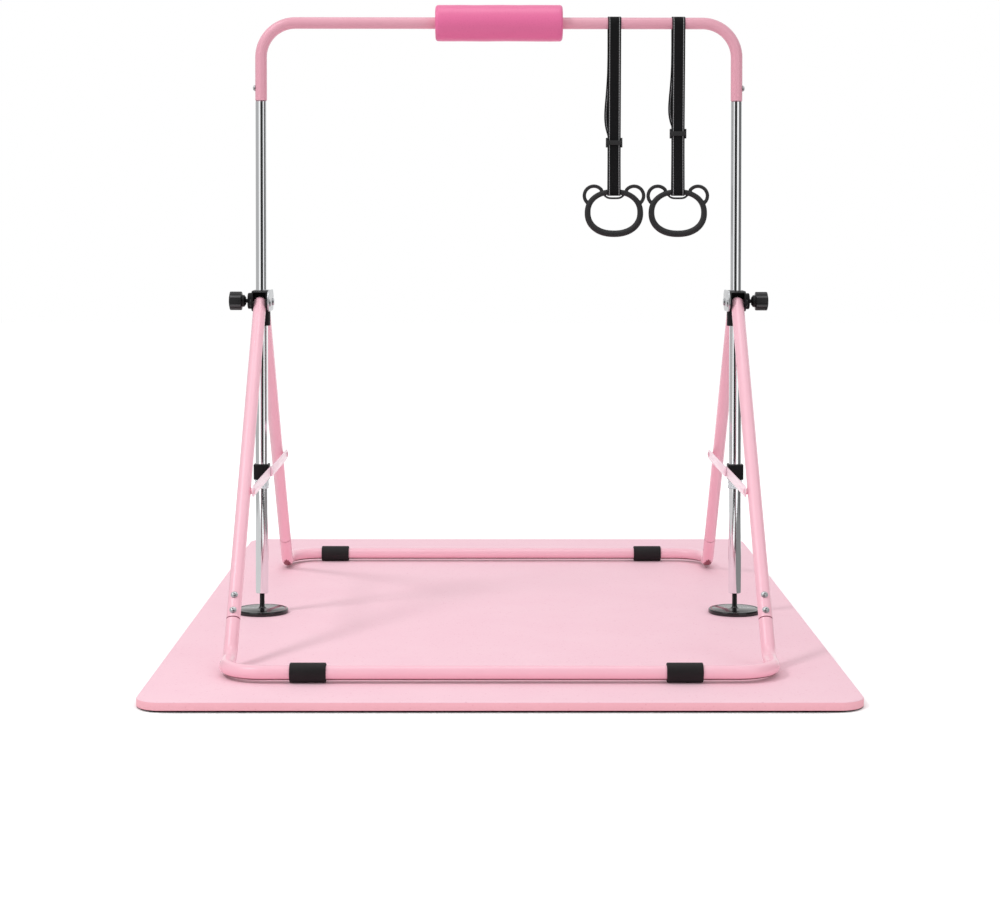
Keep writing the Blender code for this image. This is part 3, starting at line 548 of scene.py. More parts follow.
def buildUpperTubes():
    outer, neck, wall = upperShape["radius"], upperShape["neck"], upperShape["wall"]
    top, seat, bottom = barEnd + upperShape["neckLength"], barEnd - fitGap, upperShape["bottom"]
    outside = [(neck, top), (neck, seat), (outer, seat - upperShape["swage"]), (outer, bottom)]
    inside = [(radius - wall, height) for radius, height in reversed(outside)]
    tube = spunPiece("upperTubeRight", outside + inside + outside[:1], steps=64)
    dressPair(place(tube, (uprightX, frameY, 0)), chrome, "bar", "chrome", "upper_tube")


buildBar()
buildPad()
buildUpperTubes()
print("bar, pad and upper tubes done")


# button-head screws with their washers
screwShape = {
    "head": 0.00525, "headHeight": 0.003, "domeShare": 0.75, "washer": 0.00625, "washerHeight": 0.0012,
    "washerEdge": 0.0002, "lift": 0.0001, "shank": 0.003, "length": 0.010, "socket": 0.0020,
    "socketDepth": 0.0018, "topRise": 0.0246,
}


def buildScrew():
    base, rise, head = screwShape["washerHeight"], screwShape["headHeight"], screwShape["head"]
    washer, edge, shank = screwShape["washer"], screwShape["washerEdge"], screwShape["shank"]
    tip, dome = -screwShape["length"], rise * screwShape["domeShare"]
    profile = domeLine(head, dome, base + rise - dome, points=7) + [(head, base), (washer - edge, base)]
    profile += [(washer, base - edge), (washer, screwShape["lift"]), (shank, 0), (shank, tip), (0, tip)]
    screw = spunPiece("buttonScrew", profile, steps=32)
    deselectAll()
    bpy.ops.mesh.primitive_cylinder_add(
        vertices=6, radius=screwShape["socket"], depth=2 * screwShape["socketDepth"],
        location=(0, 0, base + rise),
    )
    combine(screw, namedPiece("hexKeyHole"), "DIFFERENCE")
    return screw


def buildTopScrews():
    screw = copyPiece(screwPattern, "topScrewRight")
    spot = (uprightX + barShape["radius"] + fitGap, frameY, barEnd + screwShape["topRise"])
    dressPair(place(screw, spot, alongX), zinc, "bar", "zinc", "top_screw")


screwPattern = buildScrew()
buildTopScrews()


# chromed lower tubes, the clear stop collars and the disc feet
lowerShape = {"radius": 0.0125, "wall": 0.0010, "bottom": 0.055, "top": 0.615, "lip": 0.0004}
stopShape = {"radius": 0.0143, "bore": 0.0128, "top": 0.2824, "length": 0.018, "lip": 0.0008}
footShape = {
    "disc": 0.052, "thick": 0.0085, "rim": 0.0030, "edge": 0.0008, "hub": 0.0110, "hubRise": 0.005,
    # the hub's hollow side, out from the rod and as a share of the rise
    "hubCurve": ((0, 1), (0.0006, 0.62), (0.0018, 0.30), (0.0034, 0.10)),
    # the groove inside the rim, in rim widths from the outside and as a depth
    "groove": ((3, 0), (2.6, 0.0006), (2, 0.0006), (1.8, 0)),
    "rod": 0.005, "rodRoot": 0.0047, "pitch": 0.0015, "rodTop": 0.102, "base": 0.0153,
}


def buildUprights():
    radius, bore, lip = lowerShape["radius"], lowerShape["radius"] - lowerShape["wall"], lowerShape["lip"]
    top, bottom = lowerShape["top"], lowerShape["bottom"]
    profile = [(radius, top), (radius, bottom + lip), (radius - lip, bottom), (bore, bottom), (bore, top)]
    tube = spunPiece("lowerTubeRight", profile + profile[:1], steps=64)
    dressPair(place(tube, (uprightX, frameY, 0)), chrome, "frame", "chrome", "lower_tube")

    top, bottom = stopShape["top"], stopShape["top"] - stopShape["length"]
    outer, bore, lip = stopShape["radius"], stopShape["bore"], stopShape["lip"]
    profile = [(bore, top), (outer - lip, top), (outer, top - lip)]
    profile += [(outer, bottom + lip), (outer - lip, bottom), (bore, bottom)]
    stop = spunPiece("stopCollarRight", profile + profile[:1], steps=64)
    dressPair(place(stop, (uprightX, frameY, 0)), clearPvc, "frame", "clear_plastic", "stop_collar")
    for side in ("left", "right"):
        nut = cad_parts["foot_nut_" + side]
        nut.data.materials.clear()
        nut.data.materials.append(zinc)


def buildFeet():
    base, disc, rim, edge = footShape["base"], footShape["disc"], footShape["rim"], footShape["edge"]
    top, rise, rod = base + footShape["thick"], footShape["hubRise"], footShape["rod"]
    profile = [(0, top + rise)] + [(rod + out, top + rise * share) for out, share in footShape["hubCurve"]]
    profile += [(footShape["hub"], top)]
    profile += [(disc - rims * rim, top - dip) for rims, dip in footShape["groove"]]
    profile += roundedCorner(disc - rim, top - rim, rim)
    profile += [(disc, base + edge), (disc - edge, base), (0, base)]
    plate = spunPiece("footDisc", profile, steps=96)
    root, pitch = footShape["rodRoot"], footShape["pitch"]
    turns = int((footShape["rodTop"] - top) / pitch)
    thread = [(0, top + turns * pitch)]
    for turn in range(turns, 0, -1):
        thread += [(root, top + turn * pitch), (rod, top + (turn - 0.5) * pitch)]
    thread += [(root, top), (0, top)]
    foot = joinPieces("footRight", plate, spunPiece("footRod", thread, steps=24))
    dressPair(place(foot, (uprightX, frameY, 0)), polypropylene, "{}_foot", "black_plastic", "foot")


buildUprights()
buildFeet()
print("uprights and feet done")


# hinge brackets, their zinc plates and pins, and the clamp knobs
bracketShape = {
    "centreZ": 0.639, "round": 0.020, "inner": 0.0128, "outer": 0.01575, "core": 0.015, "roof": 0.0032,
    "sleeve": 0.0175, "sleeveBottom": 0.589, "shoulder": 0.6177, "tubeSeat": 0.6153, "boss": 0.016,
    "bossLength": 0.011, "bossEdge": 0.0012, "bossRoot": 0.001, "edge": 0.0007,
}
plateShape = {"radius": 0.021, "thick": 0.003, "edge": 0.0004}
pinShape = {"radius": 0.004, "head": 0.007, "headHeight": 0.004, "tailHeight": 0.0025, "edge": 0.0008}
knobShape = {
    "height": 0.638, "standoff": 0.004, "hub": 0.0120, "hubLength": 0.008, "hubSlope": 0.45, "neck": 0.0075,
    "rod": 0.004, "radius": 0.0185, "length": 0.026, "crown": 0.0016, "edge": 0.0025, "lowEdge": 0.0012,
    # the domed end, as shares of the panel's radius and of the crown
    "crownCurve": ((0, 0), (0.30, 0.10), (0.60, 0.40)), "crownRim": 0.80,
    "ribs": 6, "stepsPerRib": 24, "ribDepth": 0.0012, "ribTop": math.radians(5.5),
    "ribFlank": math.radians(8.0), "ribStart": 0.75, "ribHighlightShare": 0.7,
}


def cutPinHoles(piece):
    for face in (-1, 1):
        cutAcross(piece, pinShape["radius"], (0, face * hingeOffset, hingeZ))


def buildBrackets():
    inner, outer, middle = bracketShape["inner"], bracketShape["outer"], bracketShape["centreZ"]
    bracket = oblongPlate("hingeBracketRight", hingeOffset, bracketShape["round"], 2 * outer)
    place(bracket, (0, 0, middle))
    sleeve, shoulder, bottom = bracketShape["sleeve"], bracketShape["shoulder"], bracketShape["sleeveBottom"]
    core = bracketShape["core"]
    profile = [(0, middle), (core, middle), (core, shoulder)]
    profile += [(sleeve, shoulder), (sleeve, bottom), (0, bottom)]
    combine(bracket, spunPiece("bracketSleeve", profile, steps=64), "UNION")
    floorZ = middle - bracketShape["round"] - fitGap
    roofZ = middle + bracketShape["round"] - bracketShape["roof"]
    for face in (-1, 1):
        near, far = sorted((face * core, face * cutReach))
        combine(bracket, boxPiece("legSlot", (-inner, near, floorZ), (inner, far, roofZ)), "DIFFERENCE")
    edge, boss = bracketShape["bossEdge"], bracketShape["boss"]
    root, reach = outer - bracketShape["bossRoot"], outer + bracketShape["bossLength"]
    profile = [(0, reach), (boss - edge, reach), (boss, reach - edge), (boss, root), (0, root)]
    bossPiece = place(spunPiece("clampBoss", profile, steps=64), (0, 0, knobShape["height"]), alongX)
    combine(bracket, bossPiece, "UNION")
    wide, narrow = lowerShape["radius"] + fitGap, upperShape["radius"] + fitGap
    seat, high, low = bracketShape["tubeSeat"], middle + cutReach, bottom - cutReach
    profile = [(0, high), (narrow, high), (narrow, seat), (wide, seat), (wide, low), (0, low)]
    combine(bracket, spunPiece("tubeBore", profile, steps=64), "DIFFERENCE")
    cutAcross(bracket, knobShape["rod"], (0, 0, knobShape["height"]), start=0)
    cutPinHoles(bracket)
    roundEdges(bracket, bracketShape["edge"])
    dressPair(place(bracket, (uprightX, frameY, 0)), blackAbs, "frame", "black_plastic", "hinge_bracket")


def buildHingePlates():
    thick = plateShape["thick"]
    plate = oblongPlate("hingePlateRight", hingeOffset, plateShape["radius"], thick)
    place(plate, (0, 0, bracketShape["centreZ"]))
    cutPinHoles(plate)
    roundEdges(plate, plateShape["edge"])
    place(plate, (uprightX - bracketShape["outer"] - fitGap - thick / 2, frameY, 0))
    dressPair(plate, zinc, "frame", "zinc", "hinge_plate")

    outer, inner = bracketShape["outer"] + fitGap, -bracketShape["outer"] - thick - 2 * fitGap
    head, shaft, edge = pinShape["head"], pinShape["radius"], pinShape["edge"]
    top, tail = outer + pinShape["headHeight"], inner - pinShape["tailHeight"]
    profile = [(0, top), (head - 2 * edge, top), (head - edge / 2, top - edge), (head, top - 2 * edge)]
    profile += [(head, outer), (shaft, outer), (shaft, inner), (head, inner), (head, tail + edge)]
    profile += [(head - edge, tail), (0, tail)]
    pattern = spunPiece("hingePin", profile, steps=40)
    for end, face in (("front", -1), ("rear", 1)):
        pin = copyPiece(pattern, "hingePin" + end.title() + "Right")
        place(pin, (uprightX, frameY + face * hingeOffset, hingeZ), alongX)
        for twin in dressPair(pin, darkSteel, "frame", "zinc", "hinge_pin_" + end):
            recolour(twin, zinc, lambda part: abs(part.center.x) < uprightX)
    bpy.data.objects.remove(pattern)


def buildKnobs():
    hubStart = bracketShape["outer"] + bracketShape["bossLength"] + knobShape["standoff"]
    gripStart = hubStart + knobShape["hubLength"]
    gripEnd = gripStart + knobShape["length"]
    edge, crown, lowEdge = knobShape["edge"], knobShape["crown"], knobShape["lowEdge"]
    panel = knobShape["radius"] - knobShape["ribDepth"]
    hub, rod, tip = knobShape["hub"], knobShape["rod"], upperShape["radius"] + fitGap
    profile = [(panel * out, gripEnd - crown * share) for out, share in knobShape["crownCurve"]]
    profile += [(panel - 2 * edge, gripEnd - crown * knobShape["crownRim"])]
    profile += roundedCorner(panel - edge, gripEnd - crown - edge, edge)
    profile += [(panel, gripStart + lowEdge), (panel - lowEdge, gripStart), (hub, gripStart)]
    profile += [(hub, hubStart + knobShape["hubLength"] * knobShape["hubSlope"])]
    profile += [(knobShape["neck"], hubStart), (rod, hubStart), (rod, tip), (0, tip)]
    knob = spunPiece("knobRight", profile, knobShape["ribs"] * knobShape["stepsPerRib"])
    # the ribs: strips of the grip's wall pulled out, their flanks half as far as their tops
    makeActive(knob)
    setMode("EDIT")
    share = math.tau / knobShape["ribs"]
    wall = panel - edge * knobShape["ribStart"]
    full = 1 + knobShape["ribDepth"] / panel
    half = (1 + full) / 2
    for reach, factor in ((knobShape["ribFlank"], half), (knobShape["ribTop"], full / half)):
        pickVerts(
            knob,
            lambda vert: vert.co.xy.length > wall and vert.co.z > gripStart - fitGap
            and abs((math.atan2(vert.co.y, vert.co.x) / share + 0.5) % 1 - 0.5) * share < reach,
        )
        bpy.ops.transform.resize(value=(factor, factor, 1))
    closeUp()
    place(knob, (uprightX, frameY, knobShape["height"]), alongX)
    axis = Vector((frameY, knobShape["height"]))
    ribHighlightReach = panel + knobShape["ribDepth"] * knobShape["ribHighlightShare"]
    # the rib tops take the painted highlight
    for twin in dressPair(knob, knobPlastic, "{}_knob", "black_plastic", "knob"):
        recolour(twin, ribHighlightPlastic, lambda part: (part.center.yz - axis).length > ribHighlightReach)


buildBrackets()
buildHingePlates()
buildKnobs()
print("brackets, plates, pins and knobs done")


# legs, bases, their screws and rubber sleeves
legShape = {
    "radius": 0.0125, "wall": 0.0012, "seamZ": 0.091, "screwRises": (0.013, 0.044),
    "groove": 0.0018, "grooveDepth": 0.00144,
}
baseShape = {
    "undersideShadeSlope": -0.7, "z": 0.03205, "footReach": 0.5415, "reach": 0.656, "legBend": 0.050,
    "cornerBend": 0.068, "bendSteps": 16, "spigot": 0.065, "spigotRadius": 0.0107, "spigotRoot": 0.003,
    "spigotPlay": 0.0002,
}
sleeveShape = {
    "radius": 0.01675, "length": 0.062, "rounding": 0.002, "front": (-0.326, 0.314), "rear": (-0.372, 0.344),
}


def alongLeg(face):
    # the directions down a leg and out from its upper side
    return (
        Vector((0, face * math.sin(legTilt), -math.cos(legTilt))),
        Vector((0, face * math.cos(legTilt), math.sin(legTilt))),
    )


def buildLegs(end, face):
    radius, wall, groove = legShape["radius"], legShape["wall"], legShape["groove"]
    bore, body, lean = radius - wall, end + "_legs", (face * legTilt, 0, 0)
    length = (hingeZ - legShape["seamZ"]) / math.cos(legTilt)
    hinge = Vector((uprightX, frameY + face * hingeOffset, hingeZ))
    domeOut, domeIn = (domeLine(size, size, 0, points=11, degrees=9) for size in (radius, bore))
    profile = domeOut + [(radius, groove - length), (radius - legShape["grooveDepth"], -length)]
    leg = spunPiece(end + "LegRight", profile + [(bore, -length)] + domeIn[::-1], steps=48)
    cutAcross(leg, pinShape["radius"])
    # the groove faces at the seam take the painted seam shade
    ends = {part.index for part in leg.data.polygons if part.center.z < groove - length}
    for twin in dressPair(place(leg, hinge, lean), legPaint, body, "leg_paint", end + "_leg"):
        recolour(twin, seamShadePaint, lambda part: part.index in ends)

    down, outwards = alongLeg(face)
    for rise, level in zip(legShape["screwRises"], ("lower", "upper")):
        spot = hinge + down * (length - rise) + outwards * (radius + fitGap)
        screw = copyPiece(screwPattern, end + "Screw" + level.title() + "Right")
        place(screw, spot, outwards.to_track_quat("Z", "Y").to_euler())
        dressPair(screw, zinc, body, "zinc", end + "_screw_" + level)

    seam = hinge + down * (length + fitGap)
    foot = Vector((uprightX, frameY + face * baseShape["footReach"], baseShape["z"]))
    far = Vector((uprightX, frameY + face * baseShape["reach"], baseShape["z"]))
    right = [(seam, 0), (foot, baseShape["legBend"]), (far, baseShape["cornerBend"])]
    left = [(Vector((-corner.x, corner.y, corner.z)), bend) for corner, bend in reversed(right)]
    parts = [bentTube(end + "Base", radius, right + left, wall, baseShape["bendSteps"])]
    top, root, play = baseShape["spigot"], -baseShape["spigotRoot"], baseShape["spigotPlay"]
    outer, inner, rim = baseShape["spigotRadius"], baseShape["spigotRadius"] - wall, radius - play
    profile = [(outer, 0), (outer, top), (inner, top), (inner, root), (rim, root), (rim, -play), (outer, 0)]
    for sign in (1, -1):
        spigot = spunPiece("baseSpigot", profile, steps=40)
        parts.append(place(spigot, (sign * seam.x, seam.y, seam.z), lean))
    base = joinPieces(end + "Base", *parts)
    dress(base, legPaint, body, "leg_paint", end + "_base")
    # the faces that look down at the mat take the painted underside shade
    recolour(base, undersideShadePaint, lambda part: part.normal.z < baseShape["undersideShadeSlope"])


def buildSleeves():
    radius, half, rounding = sleeveShape["radius"], sleeveShape["length"] / 2, sleeveShape["rounding"]
    bore = legShape["radius"] + fitGap
    upper = roundedCorner(radius - rounding, half - rounding, rounding)
    profile = [(bore, half)] + upper + [(r, -h) for r, h in reversed(upper)] + [(bore, -half), (bore, half)]
    pattern = spunPiece("sleevePattern", profile, steps=64)
    for end, face in (("front", -1), ("rear", 1)):
        for side, x in zip(("left", "right"), sleeveShape[end]):
            sleeve = copyPiece(pattern, end + "Sleeve" + side.title())
            place(sleeve, (x, frameY + face * baseShape["reach"], baseShape["z"]), alongX)
            dress(sleeve, rubber, end + "_legs", "rubber", end + "_sleeve_" + side)
    bpy.data.objects.remove(pattern)


buildLegs("front", -1)
buildLegs("rear", 1)
buildSleeves()
bpy.data.objects.remove(screwPattern)
print("legs, bases and sleeves done")


# spreader collars, links and link pins
collarShape = {
    "width": 0.031, "depth": 0.040, "length": 0.030, "rounding": 0.009, "roundSteps": 10, "centreZ": 0.2977,
    "bore": 0.0128, "edge": 0.0008,
}
linkShape = {
    "halfWidth": 0.010, "thick": 0.0025, "planes": {"front": 0.01705, "rear": 0.01985}, "length": 0.31614,
    "pinDrop": 0.44232, "edge": 0.0004, "head": 0.0055, "headHeight": 0.002, "rivetRim": 0.2, "pin": 0.003,
    "pinReach": 0.006,
}


def buildCollars():
    high = Vector((collarShape["width"], collarShape["depth"], collarShape["length"])) / 2
    collar = roundedSlab("collarRight", -high, high, collarShape["rounding"], collarShape["roundSteps"])
    combine(collar, rodPiece("collarBore", collarShape["bore"], -cutReach, cutReach, steps=64), "DIFFERENCE")
    roundEdges(collar, collarShape["edge"])
    place(collar, (uprightX, frameY, collarShape["centreZ"]))
    dressPair(collar, blackAbs, "collars", "black_plastic", "collar")


def buildLinks(end, face):
    # both links lie on the inner side of the right leg, the rear one over the front one
    inwards = (0, -math.pi / 2, 0)
    spot = Vector((uprightX, frameY + face * hingeOffset, hingeZ)) + alongLeg(face)[0] * linkShape["pinDrop"]
    half, thick, plane = linkShape["length"] / 2, linkShape["thick"], linkShape["planes"][end]
    head, height, shaft = linkShape["head"], linkShape["headHeight"], linkShape["pin"]
    link = oblongPlate(end + "LinkRight", half, linkShape["halfWidth"], thick)
    place(link, (-plane, -face * half, 0))
    cutAcross(link, shaft)
    roundEdges(link, linkShape["edge"])
    if end == "rear":
        bottom = plane + thick / 2
        profile = domeLine(head, height, bottom)
        profile += [(head, bottom + height * linkShape["rivetRim"]), (head, bottom), (0, bottom)]
        rivet = place(spunPiece("linkRivet", profile, steps=32), (0, -face * linkShape["length"], 0), inwards)
        link = joinPieces(end + "LinkRight", link, rivet)
    dressPair(place(link, spot), linkPaint, end + "_links", "leg_paint", end + "_link")

    near, far = plane - thick / 2 - fitGap, plane + thick / 2 + fitGap
    seat, reach = legShape["radius"] + fitGap, linkShape["pinReach"]
    profile = domeLine(head, height, far) + [(head, far), (shaft, far), (shaft, near), (head, near)]
    profile += [(head, seat), (shaft, seat), (shaft, reach), (0, reach)]
    pin = place(spunPiece("linkPin" + end.title() + "Right", profile, steps=32), spot, inwards)
    dressPair(pin, legPaint, end + "_legs", "zinc", "link_pin_" + end)


buildCollars()
buildLinks("front", -1)
buildLinks("rear", 1)
print("collars and links done")


# hanging straps, slide buckles and moulded rings
strapShape = {
    "places": {"left": 0.229, "right": 0.356}, "width": 0.026, "thick": 0.0015, "barRadius": 0.0119,
    "ringDrop": 0.3339, "ringRadius": 0.0069, "ply": 0.0015, "arcSteps": 20, "runStep": 0.004, "across": 8,
    "bow": {"left": -0.0066, "right": -0.0064}, "bowLow": 3.4,
}
buckleShape = {
    "drops": {"left": 0.2365, "right": 0.2185}, "travel": 0.030, "width": 0.0326, "length": 0.019,
    "barLength": 0.009, "bar": 0.0024, "edge": 0.0005,
}
ringShape = {
    "width": 0.1048, "height": 0.0836, "fullness": 2.2, "steps": 96, "top": 0.0053, "bottom": 0.0067,
    "earSpread": 0.040, "earDrop": 0.008, "earRadius": 0.019, "earSection": 0.0036, "earSteps": 32,
    "bridgeSpan": 0.040, "bridgeDip": 0.013, "bridgeSection": 0.0021, "bridgeSteps": 24, "bridgePower": 4,
    "voxel": 0.0008, "smoothing": 5,
}


def strapLine(side):
    # the strap's middle line as (depth, height) from the bar's centre: over the bar, down and round the ring
    drop, half = buckleShape["drops"][side], strapShape["thick"] / 2
    ply = strapShape["ply"] + half
    top = -drop + buckleShape["length"] / 2 + fitGap
    bottom = -drop - buckleShape["length"] / 2 - buckleShape["travel"] - fitGap
    barRadius, ringRadius = strapShape["barRadius"] + half, strapShape["ringRadius"] + half
    ringZ = -strapShape["ringDrop"]
    barAngle = math.atan2(top, ply) + math.acos(barRadius / math.hypot(ply, top))
    ringAngle = math.atan2(bottom - ringZ, ply) - math.acos(ringRadius / math.hypot(ply, bottom - ringZ))
    steps = strapShape["arcSteps"]
    overBar = [math.pi - barAngle + (2 * barAngle - math.pi) * step / steps for step in range(steps + 1)]
    underRing = [ringAngle - (math.pi + 2 * ringAngle) * step / steps for step in range(steps + 1)]
    points = [Vector((barRadius * math.cos(a), barRadius * math.sin(a))) for a in overBar]
    points += [Vector((ply, top)), Vector((ply, bottom))]
    points += [Vector((ringRadius * math.cos(a), ringZ + ringRadius * math.sin(a))) for a in underRing]
    points += [Vector((-ply, bottom)), Vector((-ply, top))]
    return points


def wrapPoint(line, distances, along, across):
    # a point of the flat strap carried to the closed line
    along = along % distances[-1]
    index = max(i for i in range(len(line)) if distances[i] <= along + 1e-9)
    start, end = line[index], line[(index + 1) % len(line)]
    spot = start + (end - start).normalized() * (along - distances[index])
    return Vector((across, spot.x, spot.y))


def backBow(side, depth, height):
    # how far the slack back ply stands out sideways, from the bar to one step of the mesh above the buckle
    high = -strapShape["barRadius"]
    low = buckleShape["length"] / 2 + strapShape["runStep"] - buckleShape["drops"][side]
    share = (high - height) / (high - low)
    if depth < 0 or not 0 < share < 1:
        return 0.0
    return strapShape["bow"][side] * math.sin(math.pi * share ** strapShape["bowLow"])


def buildStraps():
    width = strapShape["width"]
    for side, x in strapShape["places"].items():
        line = strapLine(side)
        distances = [0.0]
        for start, end in zip(line, line[1:] + line[:1]):
            distances.append(distances[-1] + (end - start).length)
        total = distances[-1]
        origin = Vector((x, frameY, barZ))
        # the flat webbing, cut to length, then wrapped round the bar and the ring
        deselectAll()
        bpy.ops.mesh.primitive_grid_add(
            x_subdivisions=round(total / strapShape["runStep"]), y_subdivisions=strapShape["across"], size=1
        )
        strap = namedPiece("strap" + side.title())
        layer = strap.data.uv_layers.active.data
        for loop in strap.data.loops:
            flat = strap.data.vertices[loop.vertex_index].co
            layer[loop.index].uv = ((flat.x + 0.5) * total, flat.y * width)
        for vert in strap.data.vertices:
            spot = wrapPoint(line, distances, (vert.co.x + 0.5) * total, vert.co.y * width)
            spot.x += backBow(side, spot.y, spot.z)
            vert.co = origin + spot
        setMode("EDIT")
        closeUp()
        applyModifier(strap, "SOLIDIFY", thickness=strapShape["thick"], offset=0)
        dress(strap, webbing, side + "_strap", "webbing", "strap_" + side, angle=50)


def buildBuckles():
    slot, slotCentre = strapShape["thick"] + 2 * fitGap, strapShape["ply"] + strapShape["thick"] / 2
    depth = slotCentre + slot / 2 + buckleShape["bar"]
    wide, slotHalf = buckleShape["width"] / 2, strapShape["width"] / 2 + fitGap
    tall = buckleShape["length"] / 2
    buckle = boxPiece("bucklePattern", (-wide, -depth, -tall), (wide, depth, tall))
    for face in (-1, 1):
        near, far = face * slotCentre - slot / 2, face * slotCentre + slot / 2
        slotCut = boxPiece("slot", (-slotHalf, near, -cutReach), (slotHalf, far, cutReach))
        combine(buckle, slotCut, "DIFFERENCE")
        near, far = sorted((face * slotCentre, face * cutReach))
        for level in (-1, 1):
            low, high = sorted((level * buckleShape["barLength"] / 2, level * cutReach))
            combine(buckle, boxPiece("window", (-slotHalf, near, low), (slotHalf, far, high)), "DIFFERENCE")
    roundEdges(buckle, buckleShape["edge"])
    for side, x in strapShape["places"].items():
        spot = (x, frameY, barZ - buckleShape["drops"][side])
        twin = copyPiece(buckle, "buckle" + side.title(), spot)
        dress(twin, ringPlastic, side + "_buckle", "black_plastic", "buckle_" + side)
    bpy.data.objects.remove(buckle)


def buildRings():
    halfWidth, halfHeight = ringShape["width"] / 2, ringShape["height"] / 2
    power, steps = 2 / ringShape["fullness"], ringShape["steps"]
    oval = []
    for step in range(steps):
        angle = math.tau * step / steps
        across = math.copysign(abs(math.sin(angle)) ** power, math.sin(angle))
        up = math.copysign(abs(math.cos(angle)) ** power, math.cos(angle))
        oval.append(Vector((halfWidth * across, 0, halfHeight * (up - 1))))
    thin, thick = ringShape["top"], ringShape["bottom"]
    parts = [rodAlong("ringPattern", oval, lambda z: thin - (thick - thin) * z / ringShape["height"], True)]
    spread, drop, radius = ringShape["earSpread"], ringShape["earDrop"], ringShape["earRadius"]
    reach = math.hypot(spread, halfHeight - drop)
    outwards = math.atan2(halfHeight - drop, spread)
    rim = 1 / math.hypot(math.cos(outwards) / halfWidth, math.sin(outwards) / halfHeight)
    sweep, steps = math.acos((rim - reach) / radius), ringShape["earSteps"]
    angles = [outwards - sweep + 2 * sweep * step / steps for step in range(steps + 1)]
    for sign in (-1, 1):
        arc = [(sign * (spread + radius * math.cos(a)), 0, radius * math.sin(a) - drop) for a in angles]
        arc = [Vector(point) for point in arc]
        parts.append(rodAlong("ear", arc, lambda z: ringShape["earSection"]))
    span, dip, steps = ringShape["bridgeSpan"], ringShape["bridgeDip"], ringShape["bridgeSteps"]
    curve = []
    for step in range(steps + 1):
        across = span * (step / steps - 0.5)
        rise = (dip - thin) * (2 * across / span) ** ringShape["bridgePower"]
        curve.append(Vector((across, 0, rise - dip)))
    parts.append(rodAlong("bridge", curve, lambda z: ringShape["bridgeSection"]))
    ring = joinPieces("ringPattern", *parts)
    applyModifier(ring, "REMESH", mode="VOXEL", voxel_size=ringShape["voxel"])
    applyModifier(ring, "SMOOTH", factor=0.5, iterations=ringShape["smoothing"])
    for side, x in strapShape["places"].items():
        twin = copyPiece(ring, "ring" + side.title(), (x, frameY, barZ - strapShape["ringDrop"]))
        dress(twin, ringPlastic, side + "_ring", "black_plastic", "ring_" + side, angle=70)
    bpy.data.objects.remove(ring)


buildStraps()
buildBuckles()
buildRings()
print("straps, buckles and rings done")


# studio: white surroundings, pale floor, soft lamps and the camera of the photograph
studio = {
    "skyLight": 0.66, "floorSize": 24, "floorZ": -0.0002, "floorTone": 0.80, "floorGlow": 0.50,
    "contactReach": 0.03, "contactPower": 2.0, "shadeReach": 0.05, "shadeStart": 0.60, "shadeEnd": 0.70,
    "aimZ": 0.45,
    # place, size and power
    "lamps": (
        ((-2.6, -1.6, 4.0), 0.8, 62),
        ((2.9, -2.8, 2.8), 1.8, 14),
        ((0.2, 2.6, 3.6), 2.4, 22),
        ((0.0, -3.2, 0.5), 2.0, 11),
    ),
    # cards that only shiny surfaces see: place, width, height, tilt, turn, tone and strength
    "cards": (
        ((0.0, -1.70, 0.81), 1.6, 1.62, 90, 0, "#363636", 1.0),
        ((-0.52, -1.31, 0.001), 0.56, 0.78, 0, 0, "#3C3C3C", 1.0),
        ((0.52, -1.31, 0.001), 0.56, 0.78, 0, 0, "#3C3C3C", 1.0),
        ((2.0, -0.40, 0.90), 2.2, 1.8, 90, 90, "#6E6E6E", 1.0),
        ((1.31, -0.40, 0.001), 1.38, 2.2, 0, 0, "#8A8A8A", 1.0),
        ((-2.0, 0.75, 0.90), 4.5, 1.8, 90, 90, "#B8B8B8", 1.0),
        ((-1.31, 0.75, 0.001), 1.38, 4.5, 0, 0, "#D8D8D8", 1.0),
        ((-2.6, -1.6, 4.0), 2.0, 2.0, 40, -60, "#FFFFFF", 4.0),
        ((0.0, -0.3, 3.2), 1.2, 1.0, 0, 0, "#FFFFFF", 3.0),
    ),
}
cameraShape = {
    "location": (-0.0175, -4.4338, 0.8057), "pitch": 88.443, "roll": -0.05, "turn": -0.262,
    "lens": 78.5, "sensor": 36, "shiftY": -0.18,
}


def seenDirectly(tree):
    # 1 for rays from the camera, a mirror or clear plastic, 0 for light that spreads
    rays = addNode(tree, "LightPath").outputs
    first = maths(tree, "MAXIMUM", rays["Is Camera Ray"], rays["Is Glossy Ray"])
    return maths(tree, "MAXIMUM", first, rays["Is Transmission Ray"])


def glowNode(tree, colour, strength):
    return addNode(tree, "Emission", {"Color": colour, "Strength": strength}).outputs["Emission"]


def buildSurround():
    world = bpy.data.worlds.new("studioSurround")
    bpy.context.scene.world = world
    tree = emptyTree(world)
    strength = mapped(tree, seenDirectly(tree), toMin=studio["skyLight"], toMax=1.0)
    sky = addNode(tree, "Background", {"Color": (1, 1, 1, 1), "Strength": strength})
    addNode(tree, "OutputWorld", {"Surface": sky.outputs["Background"]})


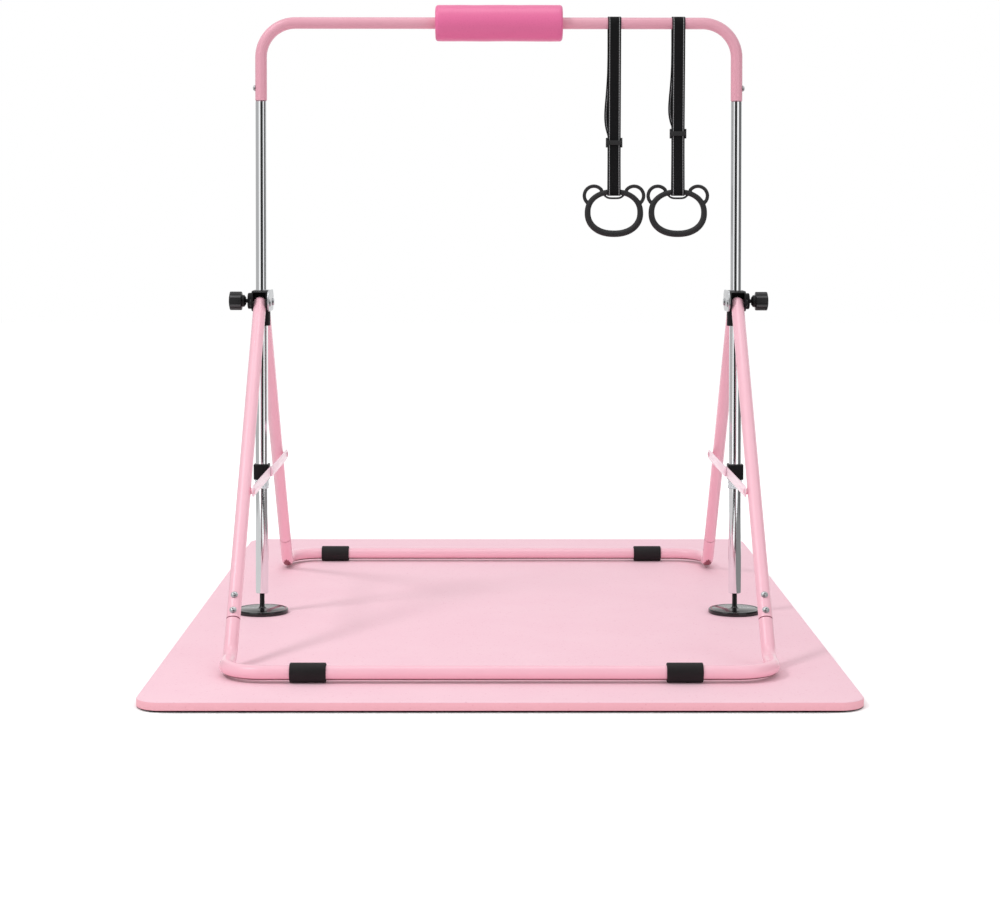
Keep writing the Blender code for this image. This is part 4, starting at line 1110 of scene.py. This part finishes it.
def buildFloor():
    deselectAll()
    bpy.ops.mesh.primitive_plane_add(size=studio["floorSize"], location=(0, 0, studio["floorZ"]))
    floor = namedPiece("studioFloor")
    paper = bpy.data.materials.new("whitePaper")
    tree = emptyTree(paper)
    # the narrow dark line in front of the mat: what stands close behind a spot shuts its light out
    backward = addNode(tree, "CombineXYZ", {"Y": 1.0}).outputs["Vector"]
    shade = {"Distance": studio["shadeReach"], "Normal": backward}
    behind = addNode(tree, "AmbientOcclusion", shade, samples=32).outputs["AO"]
    lit = mapped(tree, behind, 0.0, 1.0, fromMin=studio["shadeStart"], fromMax=studio["shadeEnd"])
    seen = seenDirectly(tree)
    bright = maths(tree, "MAXIMUM", lit, maths(tree, "SUBTRACT", 1.0, seen))
    tone = maths(tree, "MULTIPLY", bright, studio["floorTone"])
    matt = addNode(tree, "BsdfDiffuse", {"Color": tone}).outputs["BSDF"]
    # the floor's glow, less of it where something stands close
    contact = addNode(tree, "AmbientOcclusion", {"Distance": studio["contactReach"]}, samples=16)
    openness = maths(tree, "POWER", contact.outputs["AO"], studio["contactPower"])
    shown = maths(tree, "MULTIPLY", maths(tree, "MULTIPLY", seen, studio["floorGlow"]), lit)
    glow = glowNode(tree, (1, 1, 1, 1), maths(tree, "MULTIPLY", shown, openness))
    total = addNode(tree, "AddShader", {0: matt, 1: glow}).outputs["Shader"]
    addNode(tree, "OutputMaterial", {"Surface": total})
    floor.data.materials.append(paper)


def buildCards():
    for index, (spot, width, height, tilt, turn, tone, strength) in enumerate(studio["cards"], 1):
        deselectAll()
        bpy.ops.mesh.primitive_plane_add(
            size=1, location=spot, rotation=(math.radians(tilt), 0, math.radians(turn))
        )
        card = namedPiece("studioCard" + str(index))
        card.scale = (width, height, 1)
        paper = bpy.data.materials.new("cardPaper" + str(index))
        tree = emptyTree(paper)
        addNode(tree, "OutputMaterial", {"Surface": glowNode(tree, linearColour(tone), strength)})
        card.data.materials.append(paper)
        for rays in ("camera", "diffuse", "transmission", "volume_scatter", "shadow"):
            setattr(card, "visible_" + rays, False)


def buildLamps():
    for index, (spot, size, power) in enumerate(studio["lamps"], 1):
        deselectAll()
        bpy.ops.object.light_add(type="AREA", location=spot)
        lamp = bpy.context.object
        lamp.name = "softLamp" + str(index)
        lamp.data.energy = power
        lamp.data.size = size
        lamp.visible_glossy = False
        aim = Vector((0, frameY, studio["aimZ"])) - Vector(spot)
        lamp.rotation_euler = aim.to_track_quat("-Z", "Y").to_euler()


def buildCamera():
    deselectAll()
    bpy.ops.object.camera_add(
        location=cameraShape["location"],
        rotation=[math.radians(cameraShape[angle]) for angle in ("pitch", "roll", "turn")],
    )
    camera = bpy.context.object
    camera.name = "photoCamera"
    camera.data.sensor_width = cameraShape["sensor"]
    camera.data.lens = cameraShape["lens"]
    camera.data.shift_y = cameraShape["shiftY"]
    bpy.context.scene.camera = camera


bpy.context.scene.view_settings.view_transform = "Standard"
buildSurround()
buildFloor()
buildCards()
buildLamps()
buildCamera()
print("studio ready")
